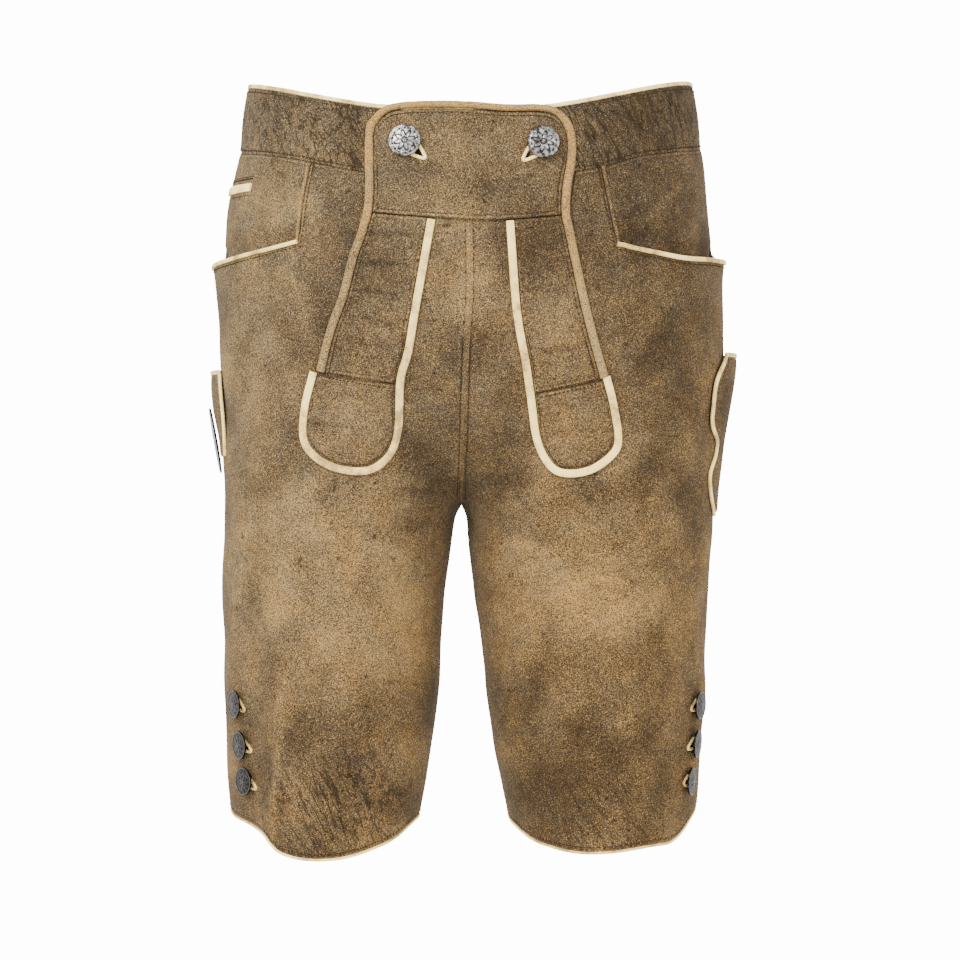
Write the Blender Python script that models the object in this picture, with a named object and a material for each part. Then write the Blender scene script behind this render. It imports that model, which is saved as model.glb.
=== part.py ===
"""Short leather breeches (lederhosen) with a fall front, filled out as if worn and hollow inside.

Metres, +Z up, front towards -Y, the wearer's right towards -X. The origin is the middle of the waist opening,
where the wearer's waist carries the garment. Every leather panel is a thin wall that follows one surface:

    share  0 at the side seam, +1 at the centre front or the front of the inseam, -1 at the back
    z      height
    lift   distance moved out along the surface's normal
"""
import math

import bmesh
import bpy
import numpy as np

# Driving dimensions
LEATHER = 0.0016
GAP = 0.0003
LAY = 0.0008
SEAM_SHARE = 0.0009
CROTCH_Z = -0.278
CROTCH_BLEND = 0.115
CROTCH_DEPTH = 0.75
TORSO_POWER = 2.35
LEG_POWER = 2.1
SIDES = {"right": -1.0, "left": 1.0}

# Half widths and depths of the torso, from the waist down to the hem
SECTION_COLUMNS = ("z", "centre", "right", "left", "front", "back")
SECTIONS = (
    (0.024, 0.0043, 0.1598, 0.1591, 0.107, 0.110),
    (-0.001, 0.0043, 0.1634, 0.1627, 0.110, 0.113),
    (-0.023, 0.0040, 0.1652, 0.1652, 0.113, 0.117),
    (-0.045, 0.0035, 0.1690, 0.1690, 0.116, 0.122),
    (-0.070, 0.0034, 0.1742, 0.1714, 0.118, 0.127),
    (-0.095, 0.0036, 0.1760, 0.1740, 0.120, 0.131),
    (-0.130, 0.0038, 0.1784, 0.1776, 0.121, 0.135),
    (-0.166, 0.0016, 0.1770, 0.1832, 0.121, 0.137),
    (-0.202, 0.0002, 0.1747, 0.1844, 0.120, 0.135),
    (-0.238, -0.0010, 0.1725, 0.1829, 0.118, 0.130),
    (-0.274, -0.0025, 0.1703, 0.1812, 0.115, 0.122),
    (-0.310, -0.0029, 0.1706, 0.1800, 0.110, 0.112),
    (-0.346, -0.0029, 0.1714, 0.1778, 0.110, 0.112),
    (-0.382, -0.0029, 0.1700, 0.1757, 0.110, 0.112),
    (-0.418, -0.0029, 0.1697, 0.1750, 0.110, 0.112),
    (-0.454, -0.0029, 0.1680, 0.1721, 0.110, 0.112),
    (-0.490, -0.0029, 0.1663, 0.1692, 0.110, 0.112),
    (-0.530, -0.0029, 0.1600, 0.1620, 0.110, 0.112),
)
# Where each leg's inseam stands from the centre, and the leg's half depths
LEG_COLUMNS = ("z", "right", "left", "front", "back")
LEGS = (
    (-0.278, 0.0000, 0.0000, 0.0985, 0.1010),
    (-0.284, 0.0028, 0.0025, 0.0980, 0.1003),
    (-0.300, 0.0060, 0.0048, 0.0970, 0.0985),
    (-0.322, 0.0090, 0.0072, 0.0955, 0.0965),
    (-0.346, 0.0120, 0.0101, 0.0935, 0.0945),
    (-0.382, 0.0144, 0.0151, 0.0905, 0.0915),
    (-0.418, 0.0162, 0.0194, 0.0875, 0.0885),
    (-0.454, 0.0216, 0.0238, 0.0850, 0.0855),
    (-0.490, 0.0274, 0.0317, 0.0825, 0.0830),
    (-0.530, 0.0360, 0.0385, 0.0805, 0.0815),
)
# Heights of the edges and seams that run round the garment, by share
ROUND_COLUMNS = ("share", "right", "left")
TOP_EDGE = (
    (-1.00, 0.0200, 0.0200),
    (-0.40, 0.0225, 0.0225),
    (0.00, 0.0237, 0.0240),
    (0.17, 0.0205, 0.0227),
    (0.30, 0.0155, 0.0182),
    (0.40, 0.0105, 0.0133),
    (0.50, 0.0058, 0.0082),
    (0.60, 0.0017, 0.0035),
    (0.72, -0.0012, -0.0005),
    (1.00, -0.0016, -0.0016),
)
WAIST_SEAM = (
    (-1.00, -0.0270, -0.0270),
    (-0.40, -0.0225, -0.0225),
    (0.00, -0.0240, -0.0218),
    (0.14, -0.0285, -0.0260),
    (0.30, -0.0328, -0.0306),
    (0.42, -0.0378, -0.0354),
    (0.52, -0.0430, -0.0424),
    (0.62, -0.0472, -0.0470),
    (0.75, -0.0476, -0.0476),
    (1.00, -0.0478, -0.0478),
)
POCKET_MOUTH = (
    (0.00, -0.1075, -0.1040),
    (0.18, -0.1045, -0.1042),
    (0.30, -0.1002, -0.1040),
    (0.42, -0.0942, -0.0998),
    (0.52, -0.0882, -0.0950),
)
HEM = (
    (-1.00, -0.5015, -0.5010),
    (-0.50, -0.5080, -0.5080),
    (0.00, -0.4970, -0.4930),
    (0.14, -0.5006, -0.5040),
    (0.22, -0.5028, -0.5133),
    (0.28, -0.5066, -0.5165),
    (0.34, -0.5116, -0.5170),
    (0.38, -0.5204, -0.5178),
    (0.42, -0.5244, -0.5188),
    (0.48, -0.5264, -0.5205),
    (0.55, -0.5258, -0.5214),
    (0.70, -0.5170, -0.5172),
    (0.85, -0.5050, -0.5072),
    (1.00, -0.5015, -0.5010),
)
# Seams that run down the front, as shares by height
DOWN_COLUMNS = ("z", "right", "left")
HIP_SEAM = (
    (-0.040, 0.450, 0.541),
    (-0.098, 0.435, 0.508),
)
FLAP_SLIT = (
    (-0.047, 0.626, 0.622),
    (-0.075, 0.645, 0.650),
)
FLAP_JOIN_Z = -0.0700
# How far the pocket mouth stands open, by share
GAPE_COLUMNS = ("share", "open")
GAPE = (
    (-0.22, 0.0000),
    (-0.10, 0.0032),
    (0.00, 0.0078),
    (0.15, 0.0068),
    (0.30, 0.0040),
    (0.44, 0.0020),
    (0.53, 0.0010),
    (0.62, 0.0000),
)
GAPE_BELOW = 0.028
GAPE_ABOVE = 0.0035
# Main folds: ridges (+) and troughs (-) that run down from top to foot; the share moves from start to end
FOLD_COLUMNS = ("side", "start", "end", "width", "top", "foot", "depth")
FOLDS = (
    ("right", 0.395, 0.365, 0.055, -0.300, -0.560, 0.0030),
    ("right", 0.290, 0.270, 0.060, -0.330, -0.560, -0.0028),
    ("right", 0.660, 0.600, 0.090, -0.340, -0.560, -0.0020),
    ("left", 0.430, 0.470, 0.090, -0.340, -0.560, 0.0022),
    ("left", 0.700, 0.640, 0.080, -0.300, -0.560, -0.0020),
    ("left", 0.250, 0.230, 0.070, -0.340, -0.560, -0.0016),
    ("right", -0.420, -0.470, 0.090, -0.290, -0.560, 0.0032),
    ("right", -0.640, -0.600, 0.080, -0.270, -0.560, -0.0030),
    ("right", -0.880, -0.700, 0.090, -0.190, -0.300, -0.0035),
    ("left", -0.440, -0.400, 0.080, -0.300, -0.560, 0.0030),
    ("left", -0.620, -0.660, 0.090, -0.260, -0.560, -0.0030),
    ("left", -0.860, -0.720, 0.090, -0.200, -0.310, -0.0035),
)

# Centre lines of the trim that is sewn round the fall front, as x and z seen from the front
FLAP_TRIM = (
    (-0.0991, -0.1847),
    (-0.0913, -0.1552),
    (-0.0829, -0.1325),
    (-0.0760, -0.1057),
    (-0.0698, -0.0878),
    (-0.0655, -0.0670),
    (-0.0652, -0.0217),
    (-0.0615, -0.0114),
    (-0.0546, -0.0048),
    (-0.0455, -0.0020),
    (-0.0236, -0.0009),
    (0.0012, -0.0013),
    (0.0280, -0.0033),
    (0.0522, -0.0032),
    (0.0630, -0.0060),
    (0.0700, -0.0128),
    (0.0735, -0.0230),
    (0.0735, -0.0392),
    (0.0706, -0.0566),
    (0.0696, -0.0754),
    (0.0721, -0.0885),
    (0.0775, -0.1150),
    (0.0866, -0.1546),
    (0.0964, -0.1889),
)
STRIP_TRIM = {
    "right": (
        (-0.0226, -0.0811),
        (-0.0335, -0.1426),
        (-0.0383, -0.1707),
        (-0.0439, -0.1912),
        (-0.0460, -0.2240),
        (-0.0530, -0.2427),
        (-0.0675, -0.2531),
        (-0.0882, -0.2517),
        (-0.1042, -0.2427),
        (-0.1112, -0.2302),
        (-0.1097, -0.2080),
        (-0.1040, -0.1853),
    ),
    "left": (
        (0.0314, -0.0820),
        (0.0359, -0.1426),
        (0.0424, -0.1802),
        (0.0460, -0.2034),
        (0.0503, -0.2302),
        (0.0590, -0.2486),
        (0.0697, -0.2551),
        (0.0870, -0.2530),
        (0.1015, -0.2427),
        (0.1062, -0.2316),
        (0.1028, -0.2081),
        (0.0978, -0.1885),
    ),
}
# The seam across each strip, from its inner to its outer end, as heights
STRIP_JOIN = {"right": (-0.1935, -0.1870), "left": (-0.2000, -0.1910)}
FLAP_SEAM = (
    (-0.0622, -0.0756),
    (-0.0408, -0.0779),
    (-0.0160, -0.0797),
    (0.0074, -0.0812),
    (0.0314, -0.0806),
    (0.0521, -0.0790),
    (0.0673, -0.0774),
)

# Trim sections: half width across, and height above what it lies on
FLAP_TRIM_HALF = 0.0031
FLAP_TRIM_HEIGHT = 0.0028
STRIP_TRIM_HALF = 0.0028
STRIP_TRIM_HEIGHT = 0.0024
EDGE_HALF = 0.0015
EDGE_THICK = 0.0010
HEM_HALF = 0.0010
HEM_THICK = 0.0010
MOUTH_HALF = 0.0017
MOUTH_THICK = 0.0013
BINDING_HALF = 0.0010
BINDING_HEIGHT = 0.0013
RIBBON_CORNER = 0.55
RIBBON_SIDES = 6

# Buttons: places on the surface, radii and heights
FLAP_BUTTON_RADIUS = 0.0110
LEG_BUTTON_RADIUS = 0.0098
BUTTON_DOME = 0.0030
SHANK_RADIUS = 0.0014
SHANK_HEIGHT = 0.0025
BUTTON_PROFILE_COLUMNS = ("radius", "height")
BUTTON_PROFILE = (
    (0.50, 0.95),
    (0.88, 0.64),
    (1.00, 0.50),
    (1.00, 0.20),
    (0.90, 0.00),
)
BUTTON_SIDES = 16
FLAP_BUTTON_COLUMNS = ("side", "x", "z", "slit_x", "slit_z")
FLAP_BUTTONS = (
    ("right", -0.0402, -0.0274, -0.0268, -0.0390),
    ("left", 0.0535, -0.0283, 0.0402, -0.0402),
)
# Beside a leg button's place: how far ahead and below its slit ends, and how far it swings back in degrees
LEG_BUTTON_COLUMNS = ("side", "row", "share", "z", "ahead", "drop", "swing")
LEG_BUTTONS = (
    ("right", 1, 0.213, -0.4182, 0.024, 0.0042, 5.0),
    ("right", 2, 0.232, -0.4470, 0.033, 0.0038, 4.0),
    ("right", 3, 0.246, -0.4722, 0.040, 0.0048, 0.0),
    ("left", 1, 0.165, -0.4195, 0.028, 0.0026, 1.0),
    ("left", 2, 0.172, -0.4468, 0.029, 0.0030, 7.0),
    ("left", 3, 0.200, -0.4730, 0.020, 0.0014, 9.0),
)
# A buttonhole is drop-shaped: its half width at the button, at its tip, and how it narrows between them
SLIT_HALF = 0.0066
LEG_SLIT_HALF = 0.0036
SLIT_TIP = 0.0014
SLIT_TAPER = 0.6
SLIT_BEHIND = 0.0010
SLIT_ROUND = 0.7
SLIT_STEPS = 5

# Side pockets: patches that stand off the side seam, open at the top
SIDE_POCKET_COLUMNS = ("side", "back", "top", "foot")
SIDE_POCKETS = (
    ("right", -0.200, -0.1850, -0.2430),
    ("left", -0.230, -0.1725, -0.2830),
)
# The share of a pocket's front edge on its way up from foot to top; the left one has two lobes
POCKET_EDGE_COLUMNS = ("way", "right", "left")
POCKET_EDGE = (
    (0.00, 0.118, 0.062),
    (0.12, 0.118, 0.121),
    (0.25, 0.118, 0.146),
    (0.37, 0.118, 0.115),
    (0.47, 0.118, 0.115),
    (0.55, 0.118, 0.156),
    (0.68, 0.118, 0.169),
    (0.87, 0.118, 0.156),
    (1.00, 0.118, 0.086),
)
# How far a pocket stands off the leg on its way up from foot to top
POCKET_STAND_COLUMNS = ("way", "right", "left")
POCKET_STAND = (
    (0.00, 0.0002, 0.0018),
    (0.20, 0.0012, 0.0018),
    (0.40, 0.0034, 0.0024),
    (0.60, 0.0055, 0.0037),
    (0.80, 0.0066, 0.0067),
    (1.00, 0.0066, 0.0098),
)
POCKET_ARCH = 0.96
POCKET_ROUND = 0.6
PLATE_HALF_HEIGHT = 0.0236
PLATE_HALF_WIDTH = 0.0110
PLATE_THICK = 0.0012
PLATE_CENTRE = (0.020, -0.2316)
PLATE_LIFT_TOP = 0.0096
PLATE_LIFT_FOOT = 0.0026
PLATE_TURN = 8.0
PLATE_SIDES = 24
COIN_WELT_SHARES = (0.050, 0.245)
COIN_WELT_Z = (-0.0543, -0.0543)
COIN_WELT_HALF = 0.0028

# How finely each piece is divided
SEARCH_STEPS = 24
SETTLE_ROUNDS = 3
CURVE_STEPS = 12
FINE_LINE = 240
SEAM_LINE = 80
SEAM_TRIMMED = 4
FRONT_CELLS = {"pocket": 8, "tongue": 4, "centre": 8}
FRONT_ROWS = {"leg": 8, "upper": 9, "tongue": 2}
FRONT_CROWDING = 1.5
BACK_CELLS = 14
BACK_ROWS = {"leg": 8, "upper": 10}
BACK_CROWDING = 1.6
BAND_STEPS = {"back": 12, "front": 14}
BAND_ROWS = 3
WAIST_TRIM_STEPS = {"back": 16, "front": 17}
HEM_BACK_STEPS = 18
MOUTH_TRIM_STEPS = 18
HIP_CELLS = 8
HIP_ROWS = 8
UNDERLAP_CELLS = 6
UNDERLAP_ROWS = 2
FLAP_STEPS = 17
FLAP_ROWS = 6
STRIP_STEPS = 6
STRIP_ROWS = 9
STRIP_END_STEPS = 11
STRIP_END_ROWS = 5
FLAP_TRIM_STEPS = 54
STRIP_TRIM_STEPS = 38
POCKET_CELLS = 7
POCKET_ROWS = 8
COIN_STEPS = 6
COIN_ROWS = 2

# The hip piece sinks by its inset over a run that starts above the mouth, and ends hidden below it
HIP_INSET = 0.0026
HIP_INSET_START = 0.016
HIP_INSET_RUN = 0.010
HIP_HIDDEN = 0.030
# Where the flap's corners and the strips' round ends begin, and where the side seam's normals blend
FLAP_CORNER_Z = -0.024
STRIP_BEND_Z = -0.226
SEAM_BLEND = 0.03
NORMAL_STEP = 0.004
SHARP_ANGLE = 40

# Colours and finishes
FINISHES = {
    "leather": ((0.30, 0.20, 0.11), 0.85, 0.0),
    "leather_trim": ((0.42, 0.30, 0.17), 0.80, 0.0),
    "cream_trim": ((0.75, 0.62, 0.40), 0.75, 0.0),
    "pewter": ((0.45, 0.44, 0.42), 0.38, 1.0),
    "gunmetal": ((0.16, 0.16, 0.16), 0.45, 1.0),
}


def clear_scene():
    """Start from an empty scene."""
    for old in list(bpy.data.objects):
        bpy.data.objects.remove(old, do_unlink=True)


def smooth(value):
    """Ease from 0 to 1 with flat ends."""
    value = np.clip(value, 0.0, 1.0)
    return value * value * (3.0 - 2.0 * value)


def column(table, columns, name, key):
    """Read a named column of a table at any key, on a smooth curve through its rows."""
    rows = np.array(sorted(table))
    keys = rows[:, 0]
    values = rows[:, columns.index(name)]
    slopes = np.gradient(values, keys)
    key = np.clip(key, keys[0], keys[-1])
    i = np.clip(np.searchsorted(keys, key) - 1, 0, len(keys) - 2)
    span = keys[i + 1] - keys[i]
    t = (key - keys[i]) / span
    start = values[i] * (1 + 2 * t) * (1 - t) ** 2 + slopes[i] * span * t * (1 - t) ** 2
    end = values[i + 1] * t * t * (3 - 2 * t) + slopes[i + 1] * span * t * t * (t - 1)
    return start + end


def round_section(angle, wide, deep, power):
    """A point of a superellipse: |x/wide|^power + |y/deep|^power = 1, at a polar angle."""
    reach = (np.abs(np.cos(angle) / wide) ** power + np.abs(np.sin(angle) / deep) ** power) ** (-1.0 / power)
    return reach * np.cos(angle), reach * np.sin(angle)


def body(side, share, z):
    """The garment's plain surface: half a torso section that splits into a leg below the crotch."""
    share, z = np.broadcast_arrays(np.asarray(share, float), np.asarray(z, float))
    turn = np.abs(share)
    is_front = share >= 0
    outside = column(SECTIONS, SECTION_COLUMNS, side, z)
    torso_front = column(SECTIONS, SECTION_COLUMNS, "front", z)
    torso_back = column(SECTIONS, SECTION_COLUMNS, "back", z)
    torso_deep = np.where(is_front, torso_front, torso_back)
    torso_x, torso_y = round_section(turn * np.pi / 2, outside, torso_deep, TORSO_POWER)
    below = np.minimum(z, CROTCH_Z)
    inside = np.where(z > CROTCH_Z, 0.0, column(LEGS, LEG_COLUMNS, side, below))
    leg_front = column(LEGS, LEG_COLUMNS, "front", z)
    leg_back = column(LEGS, LEG_COLUMNS, "back", z)
    leg_deep = np.where(is_front, leg_front, leg_back)
    leg_x, leg_y = round_section(turn * np.pi, (outside - inside) / 2, leg_deep, LEG_POWER)
    leg_x = leg_x + (outside + inside) / 2
    rise = smooth((z - CROTCH_Z) / CROTCH_BLEND)
    weight = rise ** (1.0 - CROTCH_DEPTH * smooth((turn - 0.4) / 0.6))
    x = np.maximum(leg_x + (torso_x - leg_x) * weight, GAP / 2)
    y = leg_y + (torso_y - leg_y) * weight
    centre = column(SECTIONS, SECTION_COLUMNS, "centre", z)
    return np.stack([centre + SIDES[side] * x, np.where(is_front, -y, y), z], -1)


def normal(side, share, z):
    """The surface's outward normal, from small steps along share and height."""
    step = NORMAL_STEP
    ahead = np.clip(share, step, 1 - step)
    behind = np.clip(share, step - 1, -step)
    share = np.where(np.asarray(share, float) >= 0, ahead, behind)
    z = np.asarray(z, float)
    along = body(side, share + step, z) - body(side, share - step, z)
    up = body(side, share, z + step) - body(side, share, z - step)
    out = np.cross(up, along) * SIDES[side]
    return out / np.linalg.norm(out, axis=-1, keepdims=True)


def gape(side, share, z):
    """How far the front and back stand off near the pocket mouth."""
    below = column(POCKET_MOUTH, ROUND_COLUMNS, side, share) - z
    fade = np.where(below >= 0, np.exp(-np.abs(below) / GAPE_BELOW), np.exp(-(below / GAPE_ABOVE) ** 2))
    return column(GAPE, GAPE_COLUMNS, "open", share) * fade


def folds(side, share, z):
    """The height of the main folds at a place on the surface."""
    total = np.zeros(np.broadcast(share, z).shape)
    for row in FOLDS:
        fold = dict(zip(FOLD_COLUMNS, row))
        if fold["side"] != side:
            continue
        way = np.clip((fold["top"] - z) / (fold["top"] - fold["foot"]), 0.0, 1.0)
        centre = fold["start"] + (fold["end"] - fold["start"]) * way
        across = np.exp(-((share - centre) / fold["width"]) ** 2)
        total = total + fold["depth"] * across * smooth(way * 3.0)
    return total


def cloth(side, share, z, lift=0.0, with_gape=True):
    """A point on the folded surface, moved out by lift."""
    out = folds(side, share, z) + lift
    if with_gape:
        out = out + gape(side, share, z)
    points = body(side, share, z) + normal(side, share, z) * np.asarray(out)[..., None]
    centre = column(SECTIONS, SECTION_COLUMNS, "centre", z)
    x = np.maximum((points[..., 0] - centre) * SIDES[side], GAP / 2)
    points[..., 0] = centre + SIDES[side] * x
    return points


def share_at(side, x, z):
    """The share whose front point has this x, found by halving."""
    centre = column(SECTIONS, SECTION_COLUMNS, "centre", z)
    wanted = (x - centre) * SIDES[side]
    low = np.zeros(np.shape(x))
    high = np.ones(np.shape(x))
    for _ in range(SEARCH_STEPS):
        middle = (low + high) / 2
        reach = (body(side, middle, z)[..., 0] - centre) * SIDES[side]
        low = np.where(reach > wanted, middle, low)
        high = np.where(reach > wanted, high, middle)
    return (low + high) / 2


def on_front(places, lift):
    """Points over the front at x and z, moved out by lift; both halves of the body are used."""
    x = places[..., 0]
    z = places[..., 1]
    lift = np.broadcast_to(lift, x.shape)
    right = cloth("right", share_at("right", x, z), z, lift)
    left = cloth("left", share_at("left", x, z), z, lift)
    on_right = x < column(SECTIONS, SECTION_COLUMNS, "centre", z)
    return np.where(on_right[..., None], right, left)


def trace(points, count):
    """A smooth curve through the points, as count places at equal steps of length."""
    points = np.array(points, float)
    padded = np.vstack([2 * points[0] - points[1], points, 2 * points[-1] - points[-2]])
    t = np.linspace(0, 1, CURVE_STEPS, endpoint=False)[:, None]
    runs = []
    for a, b, c, d in zip(padded[:-3], padded[1:-2], padded[2:-1], padded[3:]):
        bend = (2 * a - 5 * b + 4 * c - d) * t ** 2 + (3 * b - a - 3 * c + d) * t ** 3
        runs.append(b + ((c - a) * t + bend) / 2)
    fine = np.vstack(runs + [points[-1:]])
    return resample(fine, count)


def resample(fine, count):
    """The same line as count places at equal steps of length."""
    steps = np.linalg.norm(np.diff(fine, axis=0), axis=1)
    length = np.concatenate([[0.0], np.cumsum(steps)])
    wanted = np.linspace(0, length[-1], count)
    return np.stack([np.interp(wanted, length, fine[:, k]) for k in range(fine.shape[1])], 1)


def beside(line, distance):
    """A flat line moved sideways, to the left of its direction when distance is above 0."""
    direction = np.gradient(line, axis=0)
    direction = direction / np.linalg.norm(direction, axis=1, keepdims=True)
    return line + np.stack([-direction[:, 1], direction[:, 0]], 1) * distance


def coons(foot, top, start, end):
    """A grid of places between four flat edges: foot and top run across, start and end run up."""
    u = np.linspace(0, 1, len(foot))[None, :, None]
    v = np.linspace(0, 1, len(start))[:, None, None]
    across = foot[None] * (1 - v) + top[None] * v
    upward = start[:, None] * (1 - u) + end[:, None] * u
    corners = (foot[0] * (1 - u) + foot[-1] * u) * (1 - v) + (top[0] * (1 - u) + top[-1] * u) * v
    return across + upward - corners


def finish_mesh(name, points, faces, finish):
    """Make one object from points and faces, with its outside turned out and its own material."""
    mesh = bpy.data.meshes.new(name)
    mesh.from_pydata([tuple(point) for point in points], [], faces)
    shape = bmesh.new()
    shape.from_mesh(mesh)
    bmesh.ops.recalc_face_normals(shape, faces=shape.faces[:])
    if shape.calc_volume(signed=True) < 0:
        bmesh.ops.reverse_faces(shape, faces=shape.faces[:])
    shape.to_mesh(mesh)
    shape.free()
    mesh.shade_smooth()
    mesh.set_sharp_from_angle(angle=math.radians(SHARP_ANGLE))
    colour, roughness, metallic = FINISHES[finish]
    material = bpy.data.materials.new(name + "_" + finish)
    material.use_nodes = True
    shader = material.node_tree.nodes["Principled BSDF"]
    shader.inputs["Base Color"].default_value = (*colour, 1.0)
    shader.inputs["Roughness"].default_value = roughness
    shader.inputs["Metallic"].default_value = metallic
    mesh.materials.append(material)
    thing = bpy.data.objects.new(name, mesh)
    bpy.context.scene.collection.objects.link(thing)
    return thing


def wall(name, outer, inner, finish, kept=None):
    """Close two grids of points into one wall; kept says which cells of the grid are leather."""
    rows, columns, _ = outer.shape
    if kept is None:
        kept = np.ones((rows - 1, columns - 1), bool)
    number = np.arange(rows * columns).reshape(rows, columns)
    inside = number + rows * columns
    faces = []
    for i, k in zip(*np.nonzero(kept)):
        loop = ((i, k), (i, k + 1), (i + 1, k + 1), (i + 1, k))
        faces.append([int(number[c]) for c in loop])
        faces.append([int(inside[c]) for c in reversed(loop)])
        beyond = ((i - 1, k), (i, k + 1), (i + 1, k), (i, k - 1))
        for corner, (a, b) in enumerate(beyond):
            within = 0 <= a < rows - 1 and 0 <= b < columns - 1
            if within and kept[a, b]:
                continue
            one = loop[corner]
            two = loop[(corner + 1) % 4]
            faces.append([int(number[two]), int(number[one]), int(inside[one]), int(inside[two])])
    points = np.concatenate([outer.reshape(-1, 3), inner.reshape(-1, 3)])
    used = sorted({n for face in faces for n in face})
    renumber = {n: j for j, n in enumerate(used)}
    faces = [[renumber[n] for n in face] for face in faces]
    return finish_mesh(name, points[used], faces, finish)


def tube(name, centres, across, out, half, thick, finish, closed=False):
    """Carry a rounded section along a path: half is its half width, thick its half thickness."""
    angles = np.linspace(0, 2 * np.pi, RIBBON_SIDES, endpoint=False)
    wide = np.sign(np.cos(angles)) * np.abs(np.cos(angles)) ** RIBBON_CORNER * half
    high = np.sign(np.sin(angles)) * np.abs(np.sin(angles)) ** RIBBON_CORNER * thick
    rings = centres[:, None] + across[:, None] * wide[None, :, None] + out[:, None] * high[None, :, None]
    count, sides, _ = rings.shape
    number = np.arange(count * sides).reshape(count, sides)
    faces = []
    last = count if closed else count - 1
    for i in range(last):
        here = number[i]
        ahead = number[(i + 1) % count]
        for k in range(sides):
            turn = (k + 1) % sides
            faces.append([int(here[k]), int(here[turn]), int(ahead[turn]), int(ahead[k])])
    if not closed:
        faces.append([int(n) for n in reversed(number[0])])
        faces.append([int(n) for n in number[-1]])
    return finish_mesh(name, rings.reshape(-1, 3), faces, finish)


def unit(vectors):
    """Vectors of length 1."""
    return vectors / np.linalg.norm(vectors, axis=-1, keepdims=True)


def front_trim(name, line, half, height, finish, lift=LAY):
    """Trim that lies on the front along a flat line."""
    low = on_front(line, lift)
    high = on_front(line, lift + height)
    out = unit(high - low)
    run = unit(np.gradient(low, axis=0))
    return tube(name, (low + high) / 2, unit(np.cross(out, run)), out, half, height / 2, finish)


def level(side, share, table, offset=0.0):
    """The height of a round seam or edge at a share."""
    return column(table, ROUND_COLUMNS, side, share) + offset


def spread(a, b, count):
    """Equal steps from a to b, for whole arrays a and b."""
    t = np.linspace(0, 1, count + 1)
    return a[:, None] + (b - a)[:, None] * t[None]


def front_columns(hip, slit):
    """Shares of the front panel's columns: from the side seam past the hip seam and the slit to the centre."""
    count = len(hip)
    return np.concatenate([
        spread(np.full(count, SEAM_SHARE), hip - 2 * SEAM_SHARE, FRONT_CELLS["pocket"])[:, :-1],
        spread(hip + SEAM_SHARE / 2, slit, FRONT_CELLS["tongue"])[:, :-1],
        spread(slit, np.full(count, 1 - SEAM_SHARE), FRONT_CELLS["centre"]),
    ], 1)


def front_panel(side):
    """The front leg panel: its parts end at the pocket mouth, the waistband (the tongue) and the flap."""
    pocket_cells, tongue_cells, centre_cells = FRONT_CELLS.values()
    leg_rows, upper_rows, tongue_rows = FRONT_ROWS.values()
    trim = 2 * MOUTH_HALF - EDGE_HALF + GAP
    total = leg_rows + upper_rows + tongue_rows + 1
    z = np.linspace(HEM[0][1], WAIST_SEAM[-1][1], total)
    grid_z = np.repeat(z[:, None], pocket_cells + tongue_cells + centre_cells + 1, 1)
    for _ in range(SETTLE_ROUNDS):
        hip = column(HIP_SEAM, DOWN_COLUMNS, side, grid_z[:, pocket_cells])
        slit = column(FLAP_SLIT, DOWN_COLUMNS, side, grid_z[:, pocket_cells + tongue_cells])
        share = front_columns(hip, slit)
        hem = level(side, share[0], HEM, 2 * HEM_HALF + 3 * GAP)
        mouth = level(side, share[leg_rows + upper_rows], POCKET_MOUTH, -trim)
        mix = np.clip((np.arange(share.shape[1]) - pocket_cells) / tongue_cells, 0, 1)
        middle = mouth + (FLAP_JOIN_Z - mouth) * mix
        top = level(side, share[-1], WAIST_SEAM, -GAP)
        leg = hem + (CROTCH_Z - hem) * np.linspace(0, 1, leg_rows + 1)[:, None]
        rise = np.linspace(0, 1, upper_rows + 1)[1:, None] ** FRONT_CROWDING
        upper = CROTCH_Z + (middle - CROTCH_Z) * rise
        tongue = middle + (top - middle) * np.linspace(0, 1, tongue_rows + 1)[1:, None]
        grid_z = np.concatenate([leg, upper, tongue])
    kept = np.ones((total - 1, share.shape[1] - 1), bool)
    kept[leg_rows + upper_rows:, :pocket_cells] = False
    kept[leg_rows + upper_rows:, pocket_cells + tongue_cells:] = False
    outer = cloth(side, share, grid_z)
    inner = cloth(side, share, grid_z, -LEATHER)
    return wall("front_" + side, outer, inner, "leather", kept)


def ring_panel(name, side, shares, foot, top, rows, lift, finish):
    """A panel between two round edges: foot and top give its heights at each share."""
    mix = np.linspace(0, 1, rows + 1)[:, None]
    z = foot[None] + (top - foot)[None] * mix
    share = np.broadcast_to(shares, z.shape)
    outer = cloth(side, share, z, lift, False)
    inner = cloth(side, share, z, lift - LEATHER, False)
    return wall(name, outer, inner, finish)


def round_steps(steps, end):
    """Shares from the centre back round the side to the centre front, with the side seam counted once."""
    back = np.linspace(-end, 0, steps["back"])[:-1]
    return np.concatenate([back, np.linspace(0, end, steps["front"])])


def back_panel(side):
    """The back and seat panel, with rows that meet the crotch."""
    leg_rows, upper_rows = BACK_ROWS.values()
    share = -np.linspace(SEAM_SHARE, 1 - SEAM_SHARE, BACK_CELLS + 1)
    hem = level(side, share, HEM, 2 * HEM_HALF + 3 * GAP)
    top = level(side, share, WAIST_SEAM, -GAP)
    leg = hem + (CROTCH_Z - hem) * np.linspace(0, 1, leg_rows + 1)[:, None]
    rise = np.linspace(0, 1, upper_rows + 1)[1:, None] ** BACK_CROWDING
    z = np.concatenate([leg, CROTCH_Z + (top - CROTCH_Z) * rise])
    share = np.broadcast_to(share, z.shape)
    return wall("back_" + side, cloth(side, share, z), cloth(side, share, z, -LEATHER), "leather")


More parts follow.
